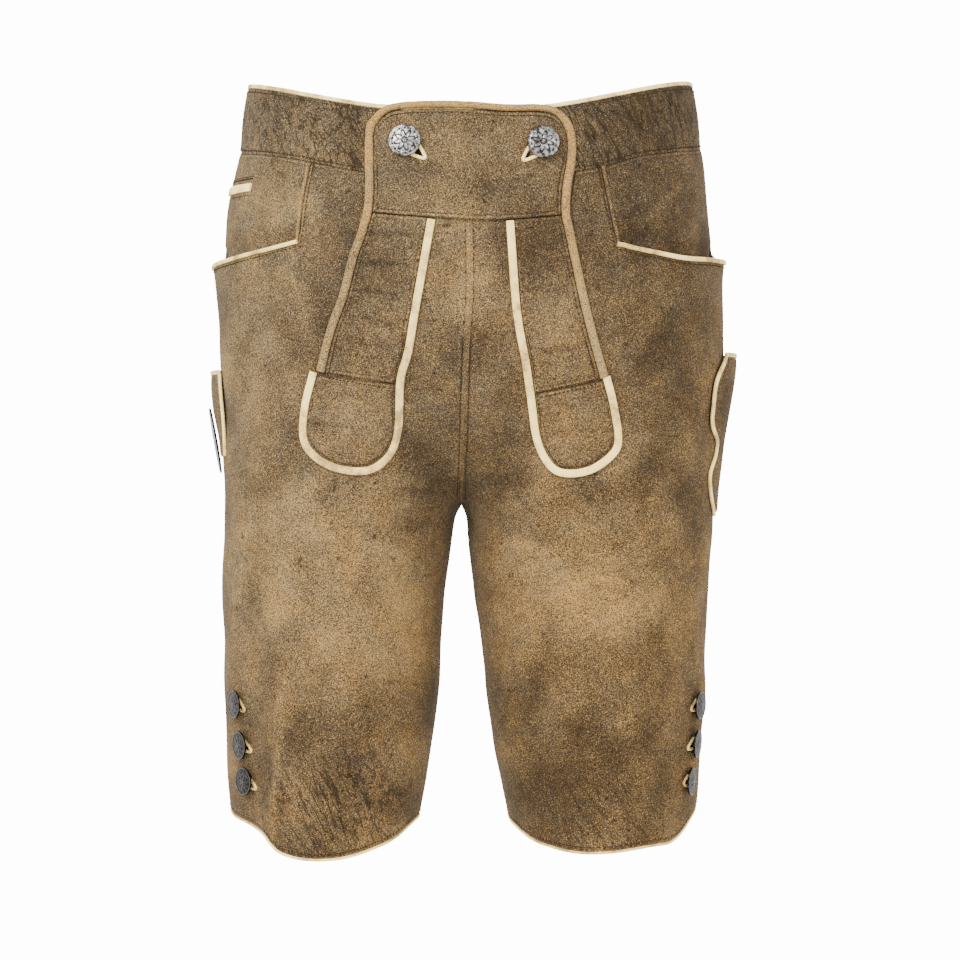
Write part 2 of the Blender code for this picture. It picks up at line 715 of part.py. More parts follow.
def waistband(side):
    """Half the waistband, from the centre back round the side to the centre front."""
    share = round_steps(BAND_STEPS, 1 - SEAM_SHARE)
    foot = level(side, share, WAIST_SEAM)
    top = level(side, share, TOP_EDGE, -2 * EDGE_HALF - 2 * GAP)
    return ring_panel("waistband_" + side, side, share, foot, top, BAND_ROWS, 0.0, "leather")


def waist_trim(side):
    """Cream piping on the waistband's top edge."""
    share = round_steps(WAIST_TRIM_STEPS, 1 - SEAM_SHARE)
    z = level(side, share, TOP_EDGE, -EDGE_HALF)
    centres = cloth(side, share, z, -LEATHER / 2, False)
    out = normal(side, share, z)
    across = unit(np.cross(out, unit(np.gradient(centres, axis=0))))
    tube("waist_piping_" + side, centres, across, out, EDGE_HALF, EDGE_THICK, "cream_trim")


def hem_trim(side):
    """Cream piping round the leg's hem, divided like the front panel."""
    foot = np.full(1, HEM[0][1])
    hip = column(HIP_SEAM, DOWN_COLUMNS, side, foot)
    slit = column(FLAP_SLIT, DOWN_COLUMNS, side, foot)
    front = front_columns(hip, slit)[0, 1:-1]
    share = np.concatenate([np.linspace(-1, 0, HEM_BACK_STEPS), front])
    z = level(side, share, HEM, HEM_HALF)
    centres = cloth(side, share, z, -LEATHER / 2)
    out = normal(side, share, z)
    across = unit(np.cross(out, np.roll(centres, -1, 0) - np.roll(centres, 1, 0)))
    tube("hem_piping_" + side, centres, across, out, HEM_HALF, HEM_THICK, "cream_trim", True)


def hip_panel(side):
    """The hip piece: level with the tongue above, and behind the pocket mouth below."""
    z = np.zeros((HIP_ROWS + 1, HIP_CELLS + 1))
    t = np.linspace(0, 1, HIP_CELLS + 1)
    start = 3 * SEAM_SHARE
    for _ in range(SETTLE_ROUNDS):
        hip = column(HIP_SEAM, DOWN_COLUMNS, side, z[:, -1])
        share = start + (hip - 2 * SEAM_SHARE - start)[:, None] * t
        foot = level(side, share[0], POCKET_MOUTH, -HIP_HIDDEN)
        top = level(side, share[-1], WAIST_SEAM, -GAP)
        z = foot + (top - foot) * np.linspace(0, 1, HIP_ROWS + 1)[:, None]
    below = column(POCKET_MOUTH, ROUND_COLUMNS, side, share) + HIP_INSET_START - z
    push = -HIP_INSET * smooth(below / HIP_INSET_RUN)
    outer = cloth(side, share, z, push, False)
    inner = cloth(side, share, z, push - LEATHER, False)
    wall("hip_" + side, outer, inner, "leather")


def mouth_trim(side):
    """Cream piping along the pocket mouth."""
    end = float(column(HIP_SEAM, DOWN_COLUMNS, side, HIP_SEAM[-1][0])) - 6 * SEAM_SHARE
    share = np.linspace(4 * SEAM_SHARE, end, MOUTH_TRIM_STEPS)
    z = level(side, share, POCKET_MOUTH, -MOUTH_HALF + EDGE_HALF)
    out = normal(side, share, z)
    opened = gape(side, share, level(side, share, POCKET_MOUTH, -MOUTH_HALF))
    lift = opened + MOUTH_THICK - LEATHER / 2 - GAP
    centres = body(side, share, z) + out * lift[:, None]
    across = unit(np.cross(out, unit(np.gradient(centres, axis=0))))
    tube("pocket_piping_" + side, centres, across, out, MOUTH_HALF, MOUTH_THICK, "cream_trim")


def underlap(side):
    """The plain piece behind the flap, between its slit and the centre."""
    mix = np.linspace(0, 1, UNDERLAP_ROWS + 1)[:, None]
    grid_z = np.full((UNDERLAP_ROWS + 1, UNDERLAP_CELLS + 1), FLAP_JOIN_Z)
    for _ in range(SETTLE_ROUNDS):
        slit = column(FLAP_SLIT, DOWN_COLUMNS, side, grid_z[:, 0])
        share = spread(slit + 2 * SEAM_SHARE, np.full(UNDERLAP_ROWS + 1, 1 - SEAM_SHARE), UNDERLAP_CELLS)
        top = level(side, share[-1], WAIST_SEAM, -2 * GAP)
        grid_z = FLAP_JOIN_Z + 2 * GAP + (top - FLAP_JOIN_Z - 2 * GAP) * mix
    outer = cloth(side, share, grid_z, 0.0, False)
    wall("underlap_" + side, outer, cloth(side, share, grid_z, -LEATHER, False), "leather")


def cut_at_height(line, z, keep_above):
    """The stretch of a line above or below a height, with its end put exactly there."""
    above = line[:, 1] > z
    keep = above if keep_above else ~above
    kept = line[keep]
    first = int(np.argmax(keep))
    if first > 0:
        a, b = line[first - 1], line[first]
        kept = np.vstack([a + (b - a) * (z - a[1]) / (b[1] - a[1]), kept])
    last = len(line) - 1 - int(np.argmax(keep[::-1]))
    if last < len(line) - 1:
        a, b = line[last], line[last + 1]
        kept = np.vstack([kept, a + (b - a) * (z - a[1]) / (b[1] - a[1])])
    return kept


def flat_piece(name, places, lift, finish):
    """Leather that lies on the front, from a grid of places."""
    return wall(name, on_front(places, lift + LEATHER), on_front(places, lift), finish)


def flap_seam_z(x):
    """The height of the flap's lower seam at x."""
    seam = trace(FLAP_SEAM, SEAM_LINE)
    return np.interp(x, seam[:, 0], seam[:, 1])


def under_seam(line):
    """The stretch of a line below the flap's lower seam."""
    return line[line[:, 1] < flap_seam_z(line[:, 0]) - 2 * GAP]


def flap():
    """The fall front's top panel: straight sides, rounded top corners and a curved lower seam."""
    edge = beside(trace(FLAP_TRIM, FINE_LINE), -FLAP_TRIM_HALF - 2 * GAP)
    seam = trace(FLAP_SEAM, SEAM_LINE)
    upper = cut_at_height(edge, FLAP_CORNER_Z, True)
    middle = len(edge) // 2
    sides = []
    for half, foot in ((edge[:middle], seam[0]), (edge[middle:][::-1], seam[-1])):
        sides.append(half[(half[:, 1] > foot[1]) & (half[:, 1] < FLAP_CORNER_Z)])
    start, end = sides
    inside = seam[SEAM_TRIMMED:-SEAM_TRIMMED]
    foot = np.vstack([[start[0][0], seam[0][1]], inside, [end[0][0], seam[-1][1]]])
    foot = resample(foot, FLAP_STEPS)
    start = resample(np.vstack([foot[0], start[1:], upper[0]]), FLAP_ROWS)
    end = resample(np.vstack([foot[-1], end[1:], upper[-1]]), FLAP_ROWS)
    flat_piece("flap", coons(foot, resample(upper, FLAP_STEPS), start, end), LAY, "leather")


def flap_trim():
    """Brown piping round the flap and down the strips' outer edges."""
    line = trace(FLAP_TRIM, FLAP_TRIM_STEPS)
    front_trim("flap_piping", line, FLAP_TRIM_HALF, FLAP_TRIM_HEIGHT, "leather_trim")


def strip(side):
    """One tapering strip, its rounded end and its cream piping."""
    sign = SIDES[side]
    half_line = FINE_LINE // 2
    outer_line = trace(FLAP_TRIM, FINE_LINE)
    outer_line = outer_line[:half_line] if side == "right" else outer_line[half_line:][::-1]
    outer_edge = beside(outer_line, sign * (FLAP_TRIM_HALF + 2 * GAP))
    inner_edge = beside(trace(STRIP_TRIM[side], FINE_LINE), sign * (STRIP_TRIM_HALF + 2 * GAP))
    lowest = int(np.argmin(inner_edge[:, 1]))
    first_half = inner_edge[:lowest]
    last_half = inner_edge[lowest:]
    join_inner, join_outer = STRIP_JOIN[side]
    outer_run = under_seam(outer_edge[outer_edge[:, 1] > join_outer + GAP])
    inner_run = under_seam(first_half[first_half[:, 1] > join_inner + GAP])[::-1]
    top_x = np.linspace(outer_run[-1][0], inner_run[-1][0], STRIP_STEPS)
    top = np.stack([top_x, flap_seam_z(top_x) - 2 * GAP], 1)
    top[0] = outer_run[-1]
    top[-1] = inner_run[-1]
    outer_run = resample(outer_run, STRIP_ROWS)
    inner_run = resample(inner_run, STRIP_ROWS)
    foot = resample(np.vstack([outer_run[0], inner_run[0]]), STRIP_STEPS)
    flat_piece("strip_" + side, coons(foot, top, outer_run, inner_run), LAY, "leather")

    low = cut_at_height(inner_edge, STRIP_BEND_Z, False)[::-1]
    on_inner = (first_half[:, 1] < join_inner - GAP) & (first_half[:, 1] > STRIP_BEND_Z)
    on_outer = (last_half[:, 1] < join_outer - GAP) & (last_half[:, 1] > STRIP_BEND_Z)
    outer_side = resample(np.vstack([low[0], last_half[on_outer]]), STRIP_END_ROWS)
    inner_side = resample(np.vstack([low[-1], first_half[on_inner][::-1]]), STRIP_END_ROWS)
    top = resample(np.vstack([outer_side[-1], inner_side[-1]]), STRIP_END_STEPS)
    places = coons(resample(low, STRIP_END_STEPS), top, outer_side, inner_side)
    flat_piece("strip_end_" + side, places, LAY, "leather")

    line = trace(STRIP_TRIM[side], STRIP_TRIM_STEPS)
    front_trim("strip_piping_" + side, line, STRIP_TRIM_HALF, STRIP_TRIM_HEIGHT, "cream_trim")


def turned(name, centre, out, radius, finish):
    """A domed button on a short shank, turned about its axis."""
    profile = [(0.0, 1.0)] + [row for row in BUTTON_PROFILE]
    radii = np.array([r * radius for r, _ in profile] + [SHANK_RADIUS, SHANK_RADIUS])
    heights = np.array([h * BUTTON_DOME + SHANK_HEIGHT for _, h in profile] + [SHANK_HEIGHT, 0.0])
    first = unit(np.cross(out, [0.0, 0.0, 1.0]))
    second = np.cross(out, first)
    angles = np.linspace(0, 2 * np.pi, BUTTON_SIDES, endpoint=False)
    spokes = np.cos(angles)[:, None] * first + np.sin(angles)[:, None] * second
    rings = centre + out * heights[1:, None, None] + spokes[None] * radii[1:, None, None]
    points = np.vstack([centre + out * heights[0], rings.reshape(-1, 3)])
    number = 1 + np.arange(rings.shape[0] * BUTTON_SIDES).reshape(rings.shape[0], BUTTON_SIDES)
    faces = []
    for k in range(BUTTON_SIDES):
        turn = (k + 1) % BUTTON_SIDES
        faces.append([0, int(number[0, k]), int(number[0, turn])])
        for here, ahead in zip(number[:-1], number[1:]):
            faces.append([int(here[k]), int(ahead[k]), int(ahead[turn]), int(here[turn])])
    faces.append([int(n) for n in number[-1]])
    finish_mesh(name, points, faces, finish)


def slit_loop(start, end, half):
    """A loop round a buttonhole that its button pulls open: wide and round behind, narrow ahead."""
    along = end - start
    length = np.linalg.norm(along)
    along = along / length
    across = np.array([-along[1], along[0]])
    t = np.linspace(0, 1, SLIT_STEPS)
    wide = (half - SLIT_TIP) * (1 - t) ** SLIT_TAPER + SLIT_TIP
    turn = np.linspace(np.pi / 2, 3 * np.pi / 2, SLIT_STEPS)[1:-1]
    places = [(d * length, -w) for d, w in zip(t, wide)]
    places += [(d * length, w) for d, w in zip(t[::-1], wide[::-1])]
    places += [(half * SLIT_ROUND * math.cos(a), half * math.sin(a)) for a in turn]
    return np.array([start + along * d + across * w for d, w in places])


def binding(name, low, high):
    """Cream binding round a buttonhole, along a closed loop."""
    out = unit(high - low)
    across = unit(np.cross(out, np.roll(low, -1, 0) - np.roll(low, 1, 0)))
    height = BINDING_HEIGHT / 2
    tube(name, low + out * height, across, out, BINDING_HALF, height, "cream_trim", True)


def flap_buttons():
    """Two pewter buttons on the flap, each in its bound buttonhole."""
    rest = LAY + LEATHER + GAP
    for row in FLAP_BUTTONS:
        place = dict(zip(FLAP_BUTTON_COLUMNS, row))
        middle = np.array([place["x"], place["z"]])
        apex = np.array([place["slit_x"], place["slit_z"]])
        toward = (apex - middle) / np.linalg.norm(apex - middle)
        loop = slit_loop(middle - toward * SLIT_BEHIND, apex, SLIT_HALF)
        binding("flap_binding_" + place["side"], on_front(loop, rest), on_front(loop, rest + LEATHER))
        base = on_front(middle[None], rest)[0]
        out = unit(on_front(middle[None], rest + LEATHER)[0] - base)
        turned("flap_button_" + place["side"], base, out, FLAP_BUTTON_RADIUS, "pewter")


def swung(way, degrees):
    """A direction turned about the upright axis."""
    turn = math.radians(degrees)
    x = way[0] * math.cos(turn) - way[1] * math.sin(turn)
    y = way[0] * math.sin(turn) + way[1] * math.cos(turn)
    return np.array([x, y, way[2]])


def leg_buttons():
    """Three gunmetal buttons beside each side seam, in bound buttonholes that point to the front."""
    for row in LEG_BUTTONS:
        place = dict(zip(LEG_BUTTON_COLUMNS, row))
        side = place["side"]
        ahead = cloth(side, place["share"] + place["ahead"], place["z"])
        reach = np.linalg.norm(ahead - cloth(side, place["share"], place["z"]))
        loop = slit_loop(np.array([-SLIT_BEHIND, 0.0]), np.array([reach, -place["drop"]]), LEG_SLIT_HALF)
        share = place["share"] + loop[:, 0] * place["ahead"] / reach
        z = place["z"] + loop[:, 1]
        name = "leg_{}_" + side + "_" + str(place["row"])
        binding(name.format("binding"), cloth(side, share, z, GAP), cloth(side, share, z, GAP + LEATHER))
        base = cloth(side, place["share"], place["z"], GAP)
        out = swung(normal(side, place["share"], place["z"]), SIDES[side] * place["swing"])
        turned(name.format("button"), base, out, LEG_BUTTON_RADIUS, "gunmetal")


def side_pocket(side):
    """A patch over the side seam that stands off the leg and is open at the top, with a piped edge."""
    row = next(dict(zip(SIDE_POCKET_COLUMNS, r)) for r in SIDE_POCKETS if r[0] == side)
    v = np.linspace(0, 1, POCKET_ROWS + 1)[:, None]
    u = np.linspace(0, 1, POCKET_CELLS + 1)[None]
    front = column(POCKET_EDGE, POCKET_EDGE_COLUMNS, side, v)
    share = row["back"] + (front - row["back"]) * u
    z = np.broadcast_to(row["foot"] + (row["top"] - row["foot"]) * v, share.shape)
    stand = column(POCKET_STAND, POCKET_STAND_COLUMNS, side, v)
    lift = stand * np.sin(np.pi * POCKET_ARCH * u) ** POCKET_ROUND + GAP
    outer = pocket_points(side, share, z, lift + LEATHER)
    inner = pocket_points(side, share, z, lift)
    wall("side_pocket_" + side, outer, inner, "leather")
    top = (outer[-1] + inner[-1]) / 2
    edge = (outer[:, -1] + inner[:, -1]) / 2
    out_top = unit(outer[-1] - inner[-1])
    out_edge = unit(outer[:, -1] - inner[:, -1])
    line = np.vstack([top[:-1], edge[::-1]])
    out = np.vstack([out_top[:-1], out_edge[::-1]])
    across = unit(np.cross(np.gradient(line, axis=0), out))
    across = across * np.sign(np.sum(across * (line - outer.mean((0, 1)))))
    away = line + across * (EDGE_HALF + 2 * GAP)
    across = unit(np.cross(np.gradient(away, axis=0), out))
    tube("side_pocket_piping_" + side, away, across, out, EDGE_HALF, EDGE_THICK, "cream_trim")


def pocket_points(side, share, z, lift):
    """Points over the side seam without folds, for patches that stand off."""
    return body(side, share, z) + normal_across(side, share, z) * np.asarray(lift)[..., None]


def normal_across(side, share, z):
    """The normal, blended over the side seam so that a patch can cross it."""
    mix = np.clip((np.asarray(share, float) + SEAM_BLEND) / (2 * SEAM_BLEND), 0, 1)[..., None]
    ahead = normal(side, np.maximum(share, 0.0), z)
    behind = normal(side, np.minimum(share, -NORMAL_STEP), z)
    return unit(ahead * mix + behind * (1 - mix))


def side_plate():
    """The thin oval metal plate that stands off the right side pocket."""
    share, z = PLATE_CENTRE
    top = pocket_points("right", share, z + PLATE_HALF_HEIGHT, PLATE_LIFT_TOP)
    foot = pocket_points("right", share, z - PLATE_HALF_HEIGHT, PLATE_LIFT_FOOT)
    up = (top - foot) / 2
    out = unit(np.cross(up, [0.0, 1.0, 0.0]))
    out = -out * np.sign(out[0])
    ahead = np.cross(unit(up), out)
    ahead = -ahead * np.sign(ahead[1])
    turn = math.radians(PLATE_TURN)
    across = (ahead * math.cos(turn) - out * math.sin(turn)) * PLATE_HALF_WIDTH
    out = out * math.cos(turn) + ahead * math.sin(turn)
    angles = np.linspace(0, 2 * np.pi, PLATE_SIDES, endpoint=False)
    rim = (top + foot) / 2 + np.sin(angles)[:, None] * up + np.cos(angles)[:, None] * across
    number = len(rim)
    faces = [list(range(number)), [2 * number - 1 - k for k in range(number)]]
    for k in range(number):
        beyond = (k + 1) % number
        faces.append([k, beyond, beyond + number, k + number])
    finish_mesh("side_plate", np.vstack([rim, rim - out * PLATE_THICK]), faces, "gunmetal")


def coin_welt():
    """The cream welt of the small coin pocket on the right hip."""
    share = np.linspace(*COIN_WELT_SHARES, COIN_STEPS)
    middle = np.linspace(*COIN_WELT_Z, COIN_STEPS)
    foot = middle - COIN_WELT_HALF
    top = middle + COIN_WELT_HALF
    ring_panel("coin_welt", "right", share, foot, top, COIN_ROWS, GAP + LEATHER, "cream_trim")


def build():
    """Make every piece."""
    clear_scene()
    for side in SIDES:
        front_panel(side)
        back_panel(side)
        waistband(side)
        hip_panel(side)
        underlap(side)
        strip(side)
        side_pocket(side)
        waist_trim(side)
        hem_trim(side)
        mouth_trim(side)
    flap()
    flap_trim()
    flap_buttons()
    leg_buttons()
    side_plate()
    coin_welt()


build()
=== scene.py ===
# %% [markdown]
# # Short leather breeches with a fall front
# Breeches like these are cut from split or buffed deer and goat hide. The leather is thick for a
# garment, about 1.6 mm, so it hangs in broad soft folds and keeps crackled little wrinkles where it
# has been bent often. This lesson dresses a plain, correctly sized model of them. Each piece of
# leather is a sheet worked out with numpy from one surface, so a seam, a piping or a row of
# stitches can be laid anywhere on it and will fit.

# %% Load the frame
import math

import bpy
import numpy as np
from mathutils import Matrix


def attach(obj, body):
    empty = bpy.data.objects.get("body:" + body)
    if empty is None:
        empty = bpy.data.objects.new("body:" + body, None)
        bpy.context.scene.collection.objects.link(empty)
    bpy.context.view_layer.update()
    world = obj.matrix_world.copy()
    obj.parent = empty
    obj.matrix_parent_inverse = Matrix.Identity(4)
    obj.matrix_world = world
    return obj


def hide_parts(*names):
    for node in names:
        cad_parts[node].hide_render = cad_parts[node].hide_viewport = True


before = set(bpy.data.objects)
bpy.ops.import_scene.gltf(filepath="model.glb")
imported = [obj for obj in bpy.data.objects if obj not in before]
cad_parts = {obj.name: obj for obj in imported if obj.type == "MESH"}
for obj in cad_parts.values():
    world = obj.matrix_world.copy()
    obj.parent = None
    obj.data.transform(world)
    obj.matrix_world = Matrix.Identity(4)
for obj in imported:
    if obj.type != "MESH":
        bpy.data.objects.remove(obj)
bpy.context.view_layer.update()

# %% [markdown]
# ## Sizes
# A cutter works from a few body measures. The garment's round sections are half widths and depths
# at each height; the legs have their own inseam and depth. Each table's first row names its
# columns. The tables are read with smooth curves, so a few rows are enough.

# %% Driving sizes, in metres
LEATHER = 0.0016
GAP = 0.0003
LAY = 0.0008
SEAM_SHARE = 0.0001
CROTCH_Z = -0.278
CROTCH_BLEND = 0.115
CROTCH_DEPTH = 0.75
TORSO_POWER = 2.35
LEG_POWER = 2.1
SIDES = {"right": -1.0, "left": 1.0}
SECTIONS = (
    ("z", "centre", "right", "left", "front", "back"),
    (0.024, 0.0043, 0.1598, 0.1591, 0.107, 0.110),
    (-0.001, 0.0043, 0.1634, 0.1627, 0.110, 0.113),
    (-0.023, 0.0040, 0.1652, 0.1652, 0.113, 0.117),
    (-0.045, 0.0035, 0.1690, 0.1690, 0.116, 0.122),
    (-0.070, 0.0034, 0.1742, 0.1714, 0.118, 0.127),
    (-0.095, 0.0036, 0.1760, 0.1740, 0.120, 0.131),
    (-0.130, 0.0038, 0.1784, 0.1776, 0.121, 0.135),
    (-0.166, 0.0016, 0.1770, 0.1832, 0.121, 0.137),
    (-0.202, 0.0002, 0.1747, 0.1844, 0.120, 0.135),
    (-0.238, -0.0010, 0.1725, 0.1829, 0.118, 0.130),
    (-0.274, -0.0025, 0.1703, 0.1812, 0.115, 0.122),
    (-0.310, -0.0029, 0.1706, 0.1800, 0.110, 0.112),
    (-0.346, -0.0029, 0.1714, 0.1778, 0.110, 0.112),
    (-0.382, -0.0029, 0.1700, 0.1757, 0.110, 0.112),
    (-0.418, -0.0029, 0.1697, 0.1750, 0.110, 0.112),
    (-0.454, -0.0029, 0.1680, 0.1721, 0.110, 0.112),
    (-0.490, -0.0029, 0.1663, 0.1692, 0.110, 0.112),
    (-0.530, -0.0029, 0.1600, 0.1620, 0.110, 0.112),
)
LEGS = (
    ("z", "right", "left", "front", "back"),
    (-0.278, 0.0000, 0.0000, 0.0985, 0.1010),
    (-0.284, 0.0028, 0.0025, 0.0980, 0.1003),
    (-0.300, 0.0060, 0.0048, 0.0970, 0.0985),
    (-0.322, 0.0090, 0.0072, 0.0955, 0.0965),
    (-0.346, 0.0120, 0.0101, 0.0935, 0.0945),
    (-0.382, 0.0144, 0.0151, 0.0905, 0.0915),
    (-0.418, 0.0162, 0.0194, 0.0875, 0.0885),
    (-0.454, 0.0216, 0.0238, 0.0850, 0.0855),
    (-0.490, 0.0274, 0.0317, 0.0825, 0.0830),
    (-0.530, 0.0360, 0.0385, 0.0805, 0.0815),
)
ROUND_COLUMNS = ("share", "right", "left")
TOP_EDGE = (
    ROUND_COLUMNS,
    (-1.00, 0.0200, 0.0200),
    (-0.40, 0.0225, 0.0225),
    (0.00, 0.0237, 0.0240),
    (0.17, 0.0205, 0.0227),
    (0.30, 0.0155, 0.0182),
    (0.40, 0.0105, 0.0133),
    (0.50, 0.0058, 0.0082),
    (0.60, 0.0017, 0.0035),
    (0.72, -0.0012, -0.0005),
    (1.00, -0.0016, -0.0016),
)
WAIST_SEAM = (
    ROUND_COLUMNS,
    (-1.00, -0.0270, -0.0270),
    (-0.40, -0.0225, -0.0225),
    (0.00, -0.0240, -0.0218),
    (0.14, -0.0285, -0.0260),
    (0.30, -0.0328, -0.0306),
    (0.42, -0.0378, -0.0354),
    (0.52, -0.0430, -0.0424),
    (0.62, -0.0472, -0.0470),
    (0.75, -0.0476, -0.0476),
    (1.00, -0.0478, -0.0478),
)
POCKET_MOUTH = (
    ROUND_COLUMNS,
    (0.00, -0.1075, -0.1040),
    (0.18, -0.1045, -0.1042),
    (0.30, -0.1002, -0.1040),
    (0.42, -0.0942, -0.0998),
    (0.52, -0.0882, -0.0950),
)
HEM = (
    ROUND_COLUMNS,
    (-1.00, -0.5015, -0.5010),
    (-0.50, -0.5080, -0.5080),
    (0.00, -0.4970, -0.4930),
    (0.14, -0.5006, -0.5040),
    (0.22, -0.5028, -0.5133),
    (0.28, -0.5066, -0.5165),
    (0.34, -0.5116, -0.5170),
    (0.38, -0.5204, -0.5178),
    (0.42, -0.5244, -0.5188),
    (0.48, -0.5264, -0.5205),
    (0.55, -0.5258, -0.5214),
    (0.70, -0.5170, -0.5172),
    (0.85, -0.5050, -0.5072),
    (1.00, -0.5015, -0.5010),
)
DOWN_COLUMNS = ("z", "right", "left")
HIP_SEAM = (
    DOWN_COLUMNS,
    (-0.040, 0.450, 0.541),
    (-0.098, 0.435, 0.508),
)
FLAP_SLIT = (
    DOWN_COLUMNS,
    (-0.047, 0.626, 0.622),
    (-0.075, 0.645, 0.650),
)
FLAP_JOIN_Z = -0.0700
GAPE = (
    ("share", "open"),
    (-0.22, 0.0000),
    (-0.10, 0.0032),
    (0.00, 0.0078),
    (0.15, 0.0068),
    (0.30, 0.0040),
    (0.44, 0.0020),
    (0.53, 0.0010),
    (0.62, 0.0000),
)
GAPE_BELOW = 0.028
GAPE_ABOVE = 0.0035
print("rows in the section table:", len(SECTIONS) - 1, "and in the leg table:", len(LEGS) - 1)

# %% [markdown]
# ## The folds
# Leather filled out by a body folds in long soft ridges that run down the legs. Sculpting them by
# hand would be quick but hard to repeat, so each fold is a row of a table: where it starts and
# ends, how wide and how deep it is. A cross section through a fold is a bell curve:
# exp(-(distance / width)^2).

# %% Main folds
FOLDS = (
    ("side", "start", "end", "width", "top", "foot", "depth"),
    ("right", 0.395, 0.365, 0.055, -0.300, -0.560, 0.0030),
    ("right", 0.290, 0.270, 0.060, -0.330, -0.560, -0.0028),
    ("right", 0.660, 0.600, 0.090, -0.340, -0.560, -0.0020),
    ("left", 0.430, 0.470, 0.090, -0.340, -0.560, 0.0022),
    ("left", 0.700, 0.640, 0.080, -0.300, -0.560, -0.0020),
    ("left", 0.250, 0.230, 0.070, -0.340, -0.560, -0.0016),
    ("right", -0.420, -0.470, 0.090, -0.290, -0.560, 0.0032),
    ("right", -0.640, -0.600, 0.080, -0.270, -0.560, -0.0030),
    ("right", -0.880, -0.700, 0.090, -0.190, -0.300, -0.0035),
    ("left", -0.440, -0.400, 0.080, -0.300, -0.560, 0.0030),
    ("left", -0.620, -0.660, 0.090, -0.260, -0.560, -0.0030),
    ("left", -0.860, -0.720, 0.090, -0.200, -0.310, -0.0035),
)
print(len(FOLDS) - 1, "main folds")


# %% [markdown]
# ## One surface for every piece
# A place on the garment has a side, a share of the way round (0 at the side seam, 1 at the centre
# front, -1 at the centre back) and a height. The torso section is a superellipse; below the crotch
# it turns into two leg sections. Blending the two with a weight that rises fastest near the centre
# seam gives the curved crotch seam.

# %% Surface functions
def smooth(value):
    """Ease from 0 to 1 with flat ends: 3 v^2 - 2 v^3."""
    value = np.clip(value, 0.0, 1.0)
    return value * value * (3.0 - 2.0 * value)


def column(table, name, key):
    """Read a table's named column at any key, with cubic Hermite curves through its rows."""
    rows = np.array(sorted(table[1:]))
    keys = rows[:, 0]
    values = rows[:, table[0].index(name)]
    slopes = np.gradient(values, keys)
    key = np.clip(key, keys[0], keys[-1])
    i = np.clip(np.searchsorted(keys, key) - 1, 0, len(keys) - 2)
    span = keys[i + 1] - keys[i]
    t = (key - keys[i]) / span
    start = values[i] * (1 + 2 * t) * (1 - t) ** 2 + slopes[i] * span * t * (1 - t) ** 2
    end = values[i + 1] * t * t * (3 - 2 * t) + slopes[i + 1] * span * t * t * (t - 1)
    return start + end


def named_rows(table):
    """A table's rows, each as a dict of its named columns."""
    return [dict(zip(table[0], row)) for row in table[1:]]


def round_section(angle, wide, deep, power):
    """A superellipse in polar form: reach = (|cos/wide|^p + |sin/deep|^p)^(-1/p)."""
    total = np.abs(np.cos(angle) / wide) ** power + np.abs(np.sin(angle) / deep) ** power
    reach = total ** (-1.0 / power)
    return reach * np.cos(angle), reach * np.sin(angle)


def body(side, share, z):
    """The plain surface: torso and leg, mixed by rise^(1 - depth * nearness to the centre)."""
    share, z = np.broadcast_arrays(np.asarray(share, float), np.asarray(z, float))
    turn = np.abs(share)
    is_front = share >= 0
    outside = column(SECTIONS, side, z)
    torso_front = column(SECTIONS, "front", z)
    torso_back = column(SECTIONS, "back", z)
    torso_deep = np.where(is_front, torso_front, torso_back)
    torso_x, torso_y = round_section(turn * np.pi / 2, outside, torso_deep, TORSO_POWER)
    below = np.minimum(z, CROTCH_Z)
    inside = np.where(z > CROTCH_Z, 0.0, column(LEGS, side, below))
    leg_front = column(LEGS, "front", z)
    leg_back = column(LEGS, "back", z)
    leg_deep = np.where(is_front, leg_front, leg_back)
    leg_x, leg_y = round_section(turn * np.pi, (outside - inside) / 2, leg_deep, LEG_POWER)
    leg_x = leg_x + (outside + inside) / 2
    rise = smooth((z - CROTCH_Z) / CROTCH_BLEND)
    weight = rise ** (1.0 - CROTCH_DEPTH * smooth((turn - 0.4) / 0.6))
    x = np.maximum(leg_x + (torso_x - leg_x) * weight, 0.0)
    y = leg_y + (torso_y - leg_y) * weight
    centre = column(SECTIONS, "centre", z)
    return np.stack([centre + SIDES[side] * x, np.where(is_front, -y, y), z], -1)


def unit(vectors):
    """Vectors of length 1."""
    return vectors / np.linalg.norm(vectors, axis=-1, keepdims=True)


NORMAL_STEP = 0.004


def normal(side, share, z):
    """The outward normal: the cross product of small steps up and along."""
    ahead = np.clip(share, NORMAL_STEP, 1 - NORMAL_STEP)
    behind = np.clip(share, NORMAL_STEP - 1, -NORMAL_STEP)
    share = np.where(np.asarray(share, float) >= 0, ahead, behind)
    z = np.asarray(z, float)
    along = body(side, share + NORMAL_STEP, z) - body(side, share - NORMAL_STEP, z)
    up = body(side, share, z + NORMAL_STEP) - body(side, share, z - NORMAL_STEP)
    return unit(np.cross(up, along) * SIDES[side])


def gape(side, share, z):
    """How far the leather stands off near the pocket mouth, fading away below and above it."""
    below = column(POCKET_MOUTH, side, share) - z
    fade_below = np.exp(-np.abs(below) / GAPE_BELOW)
    fade = np.where(below >= 0, fade_below, np.exp(-(below / GAPE_ABOVE) ** 2))
    return column(GAPE, "open", share) * fade


def folds(side, share, z):
    """The sum of the main folds: depth * exp(-((share - centre) / width)^2) * ease-in."""
    total = np.zeros(np.broadcast(share, z).shape)
    for fold in named_rows(FOLDS):
        if fold["side"] != side:
            continue
        way = np.clip((fold["top"] - z) / (fold["top"] - fold["foot"]), 0.0, 1.0)
        centre = fold["start"] + (fold["end"] - fold["start"]) * way
        across = np.exp(-((share - centre) / fold["width"]) ** 2)
        total = total + fold["depth"] * across * smooth(way * 3.0)
    return total


point = body("right", 0.5, -0.2)
print("a place on the right front:", np.round(point, 4))


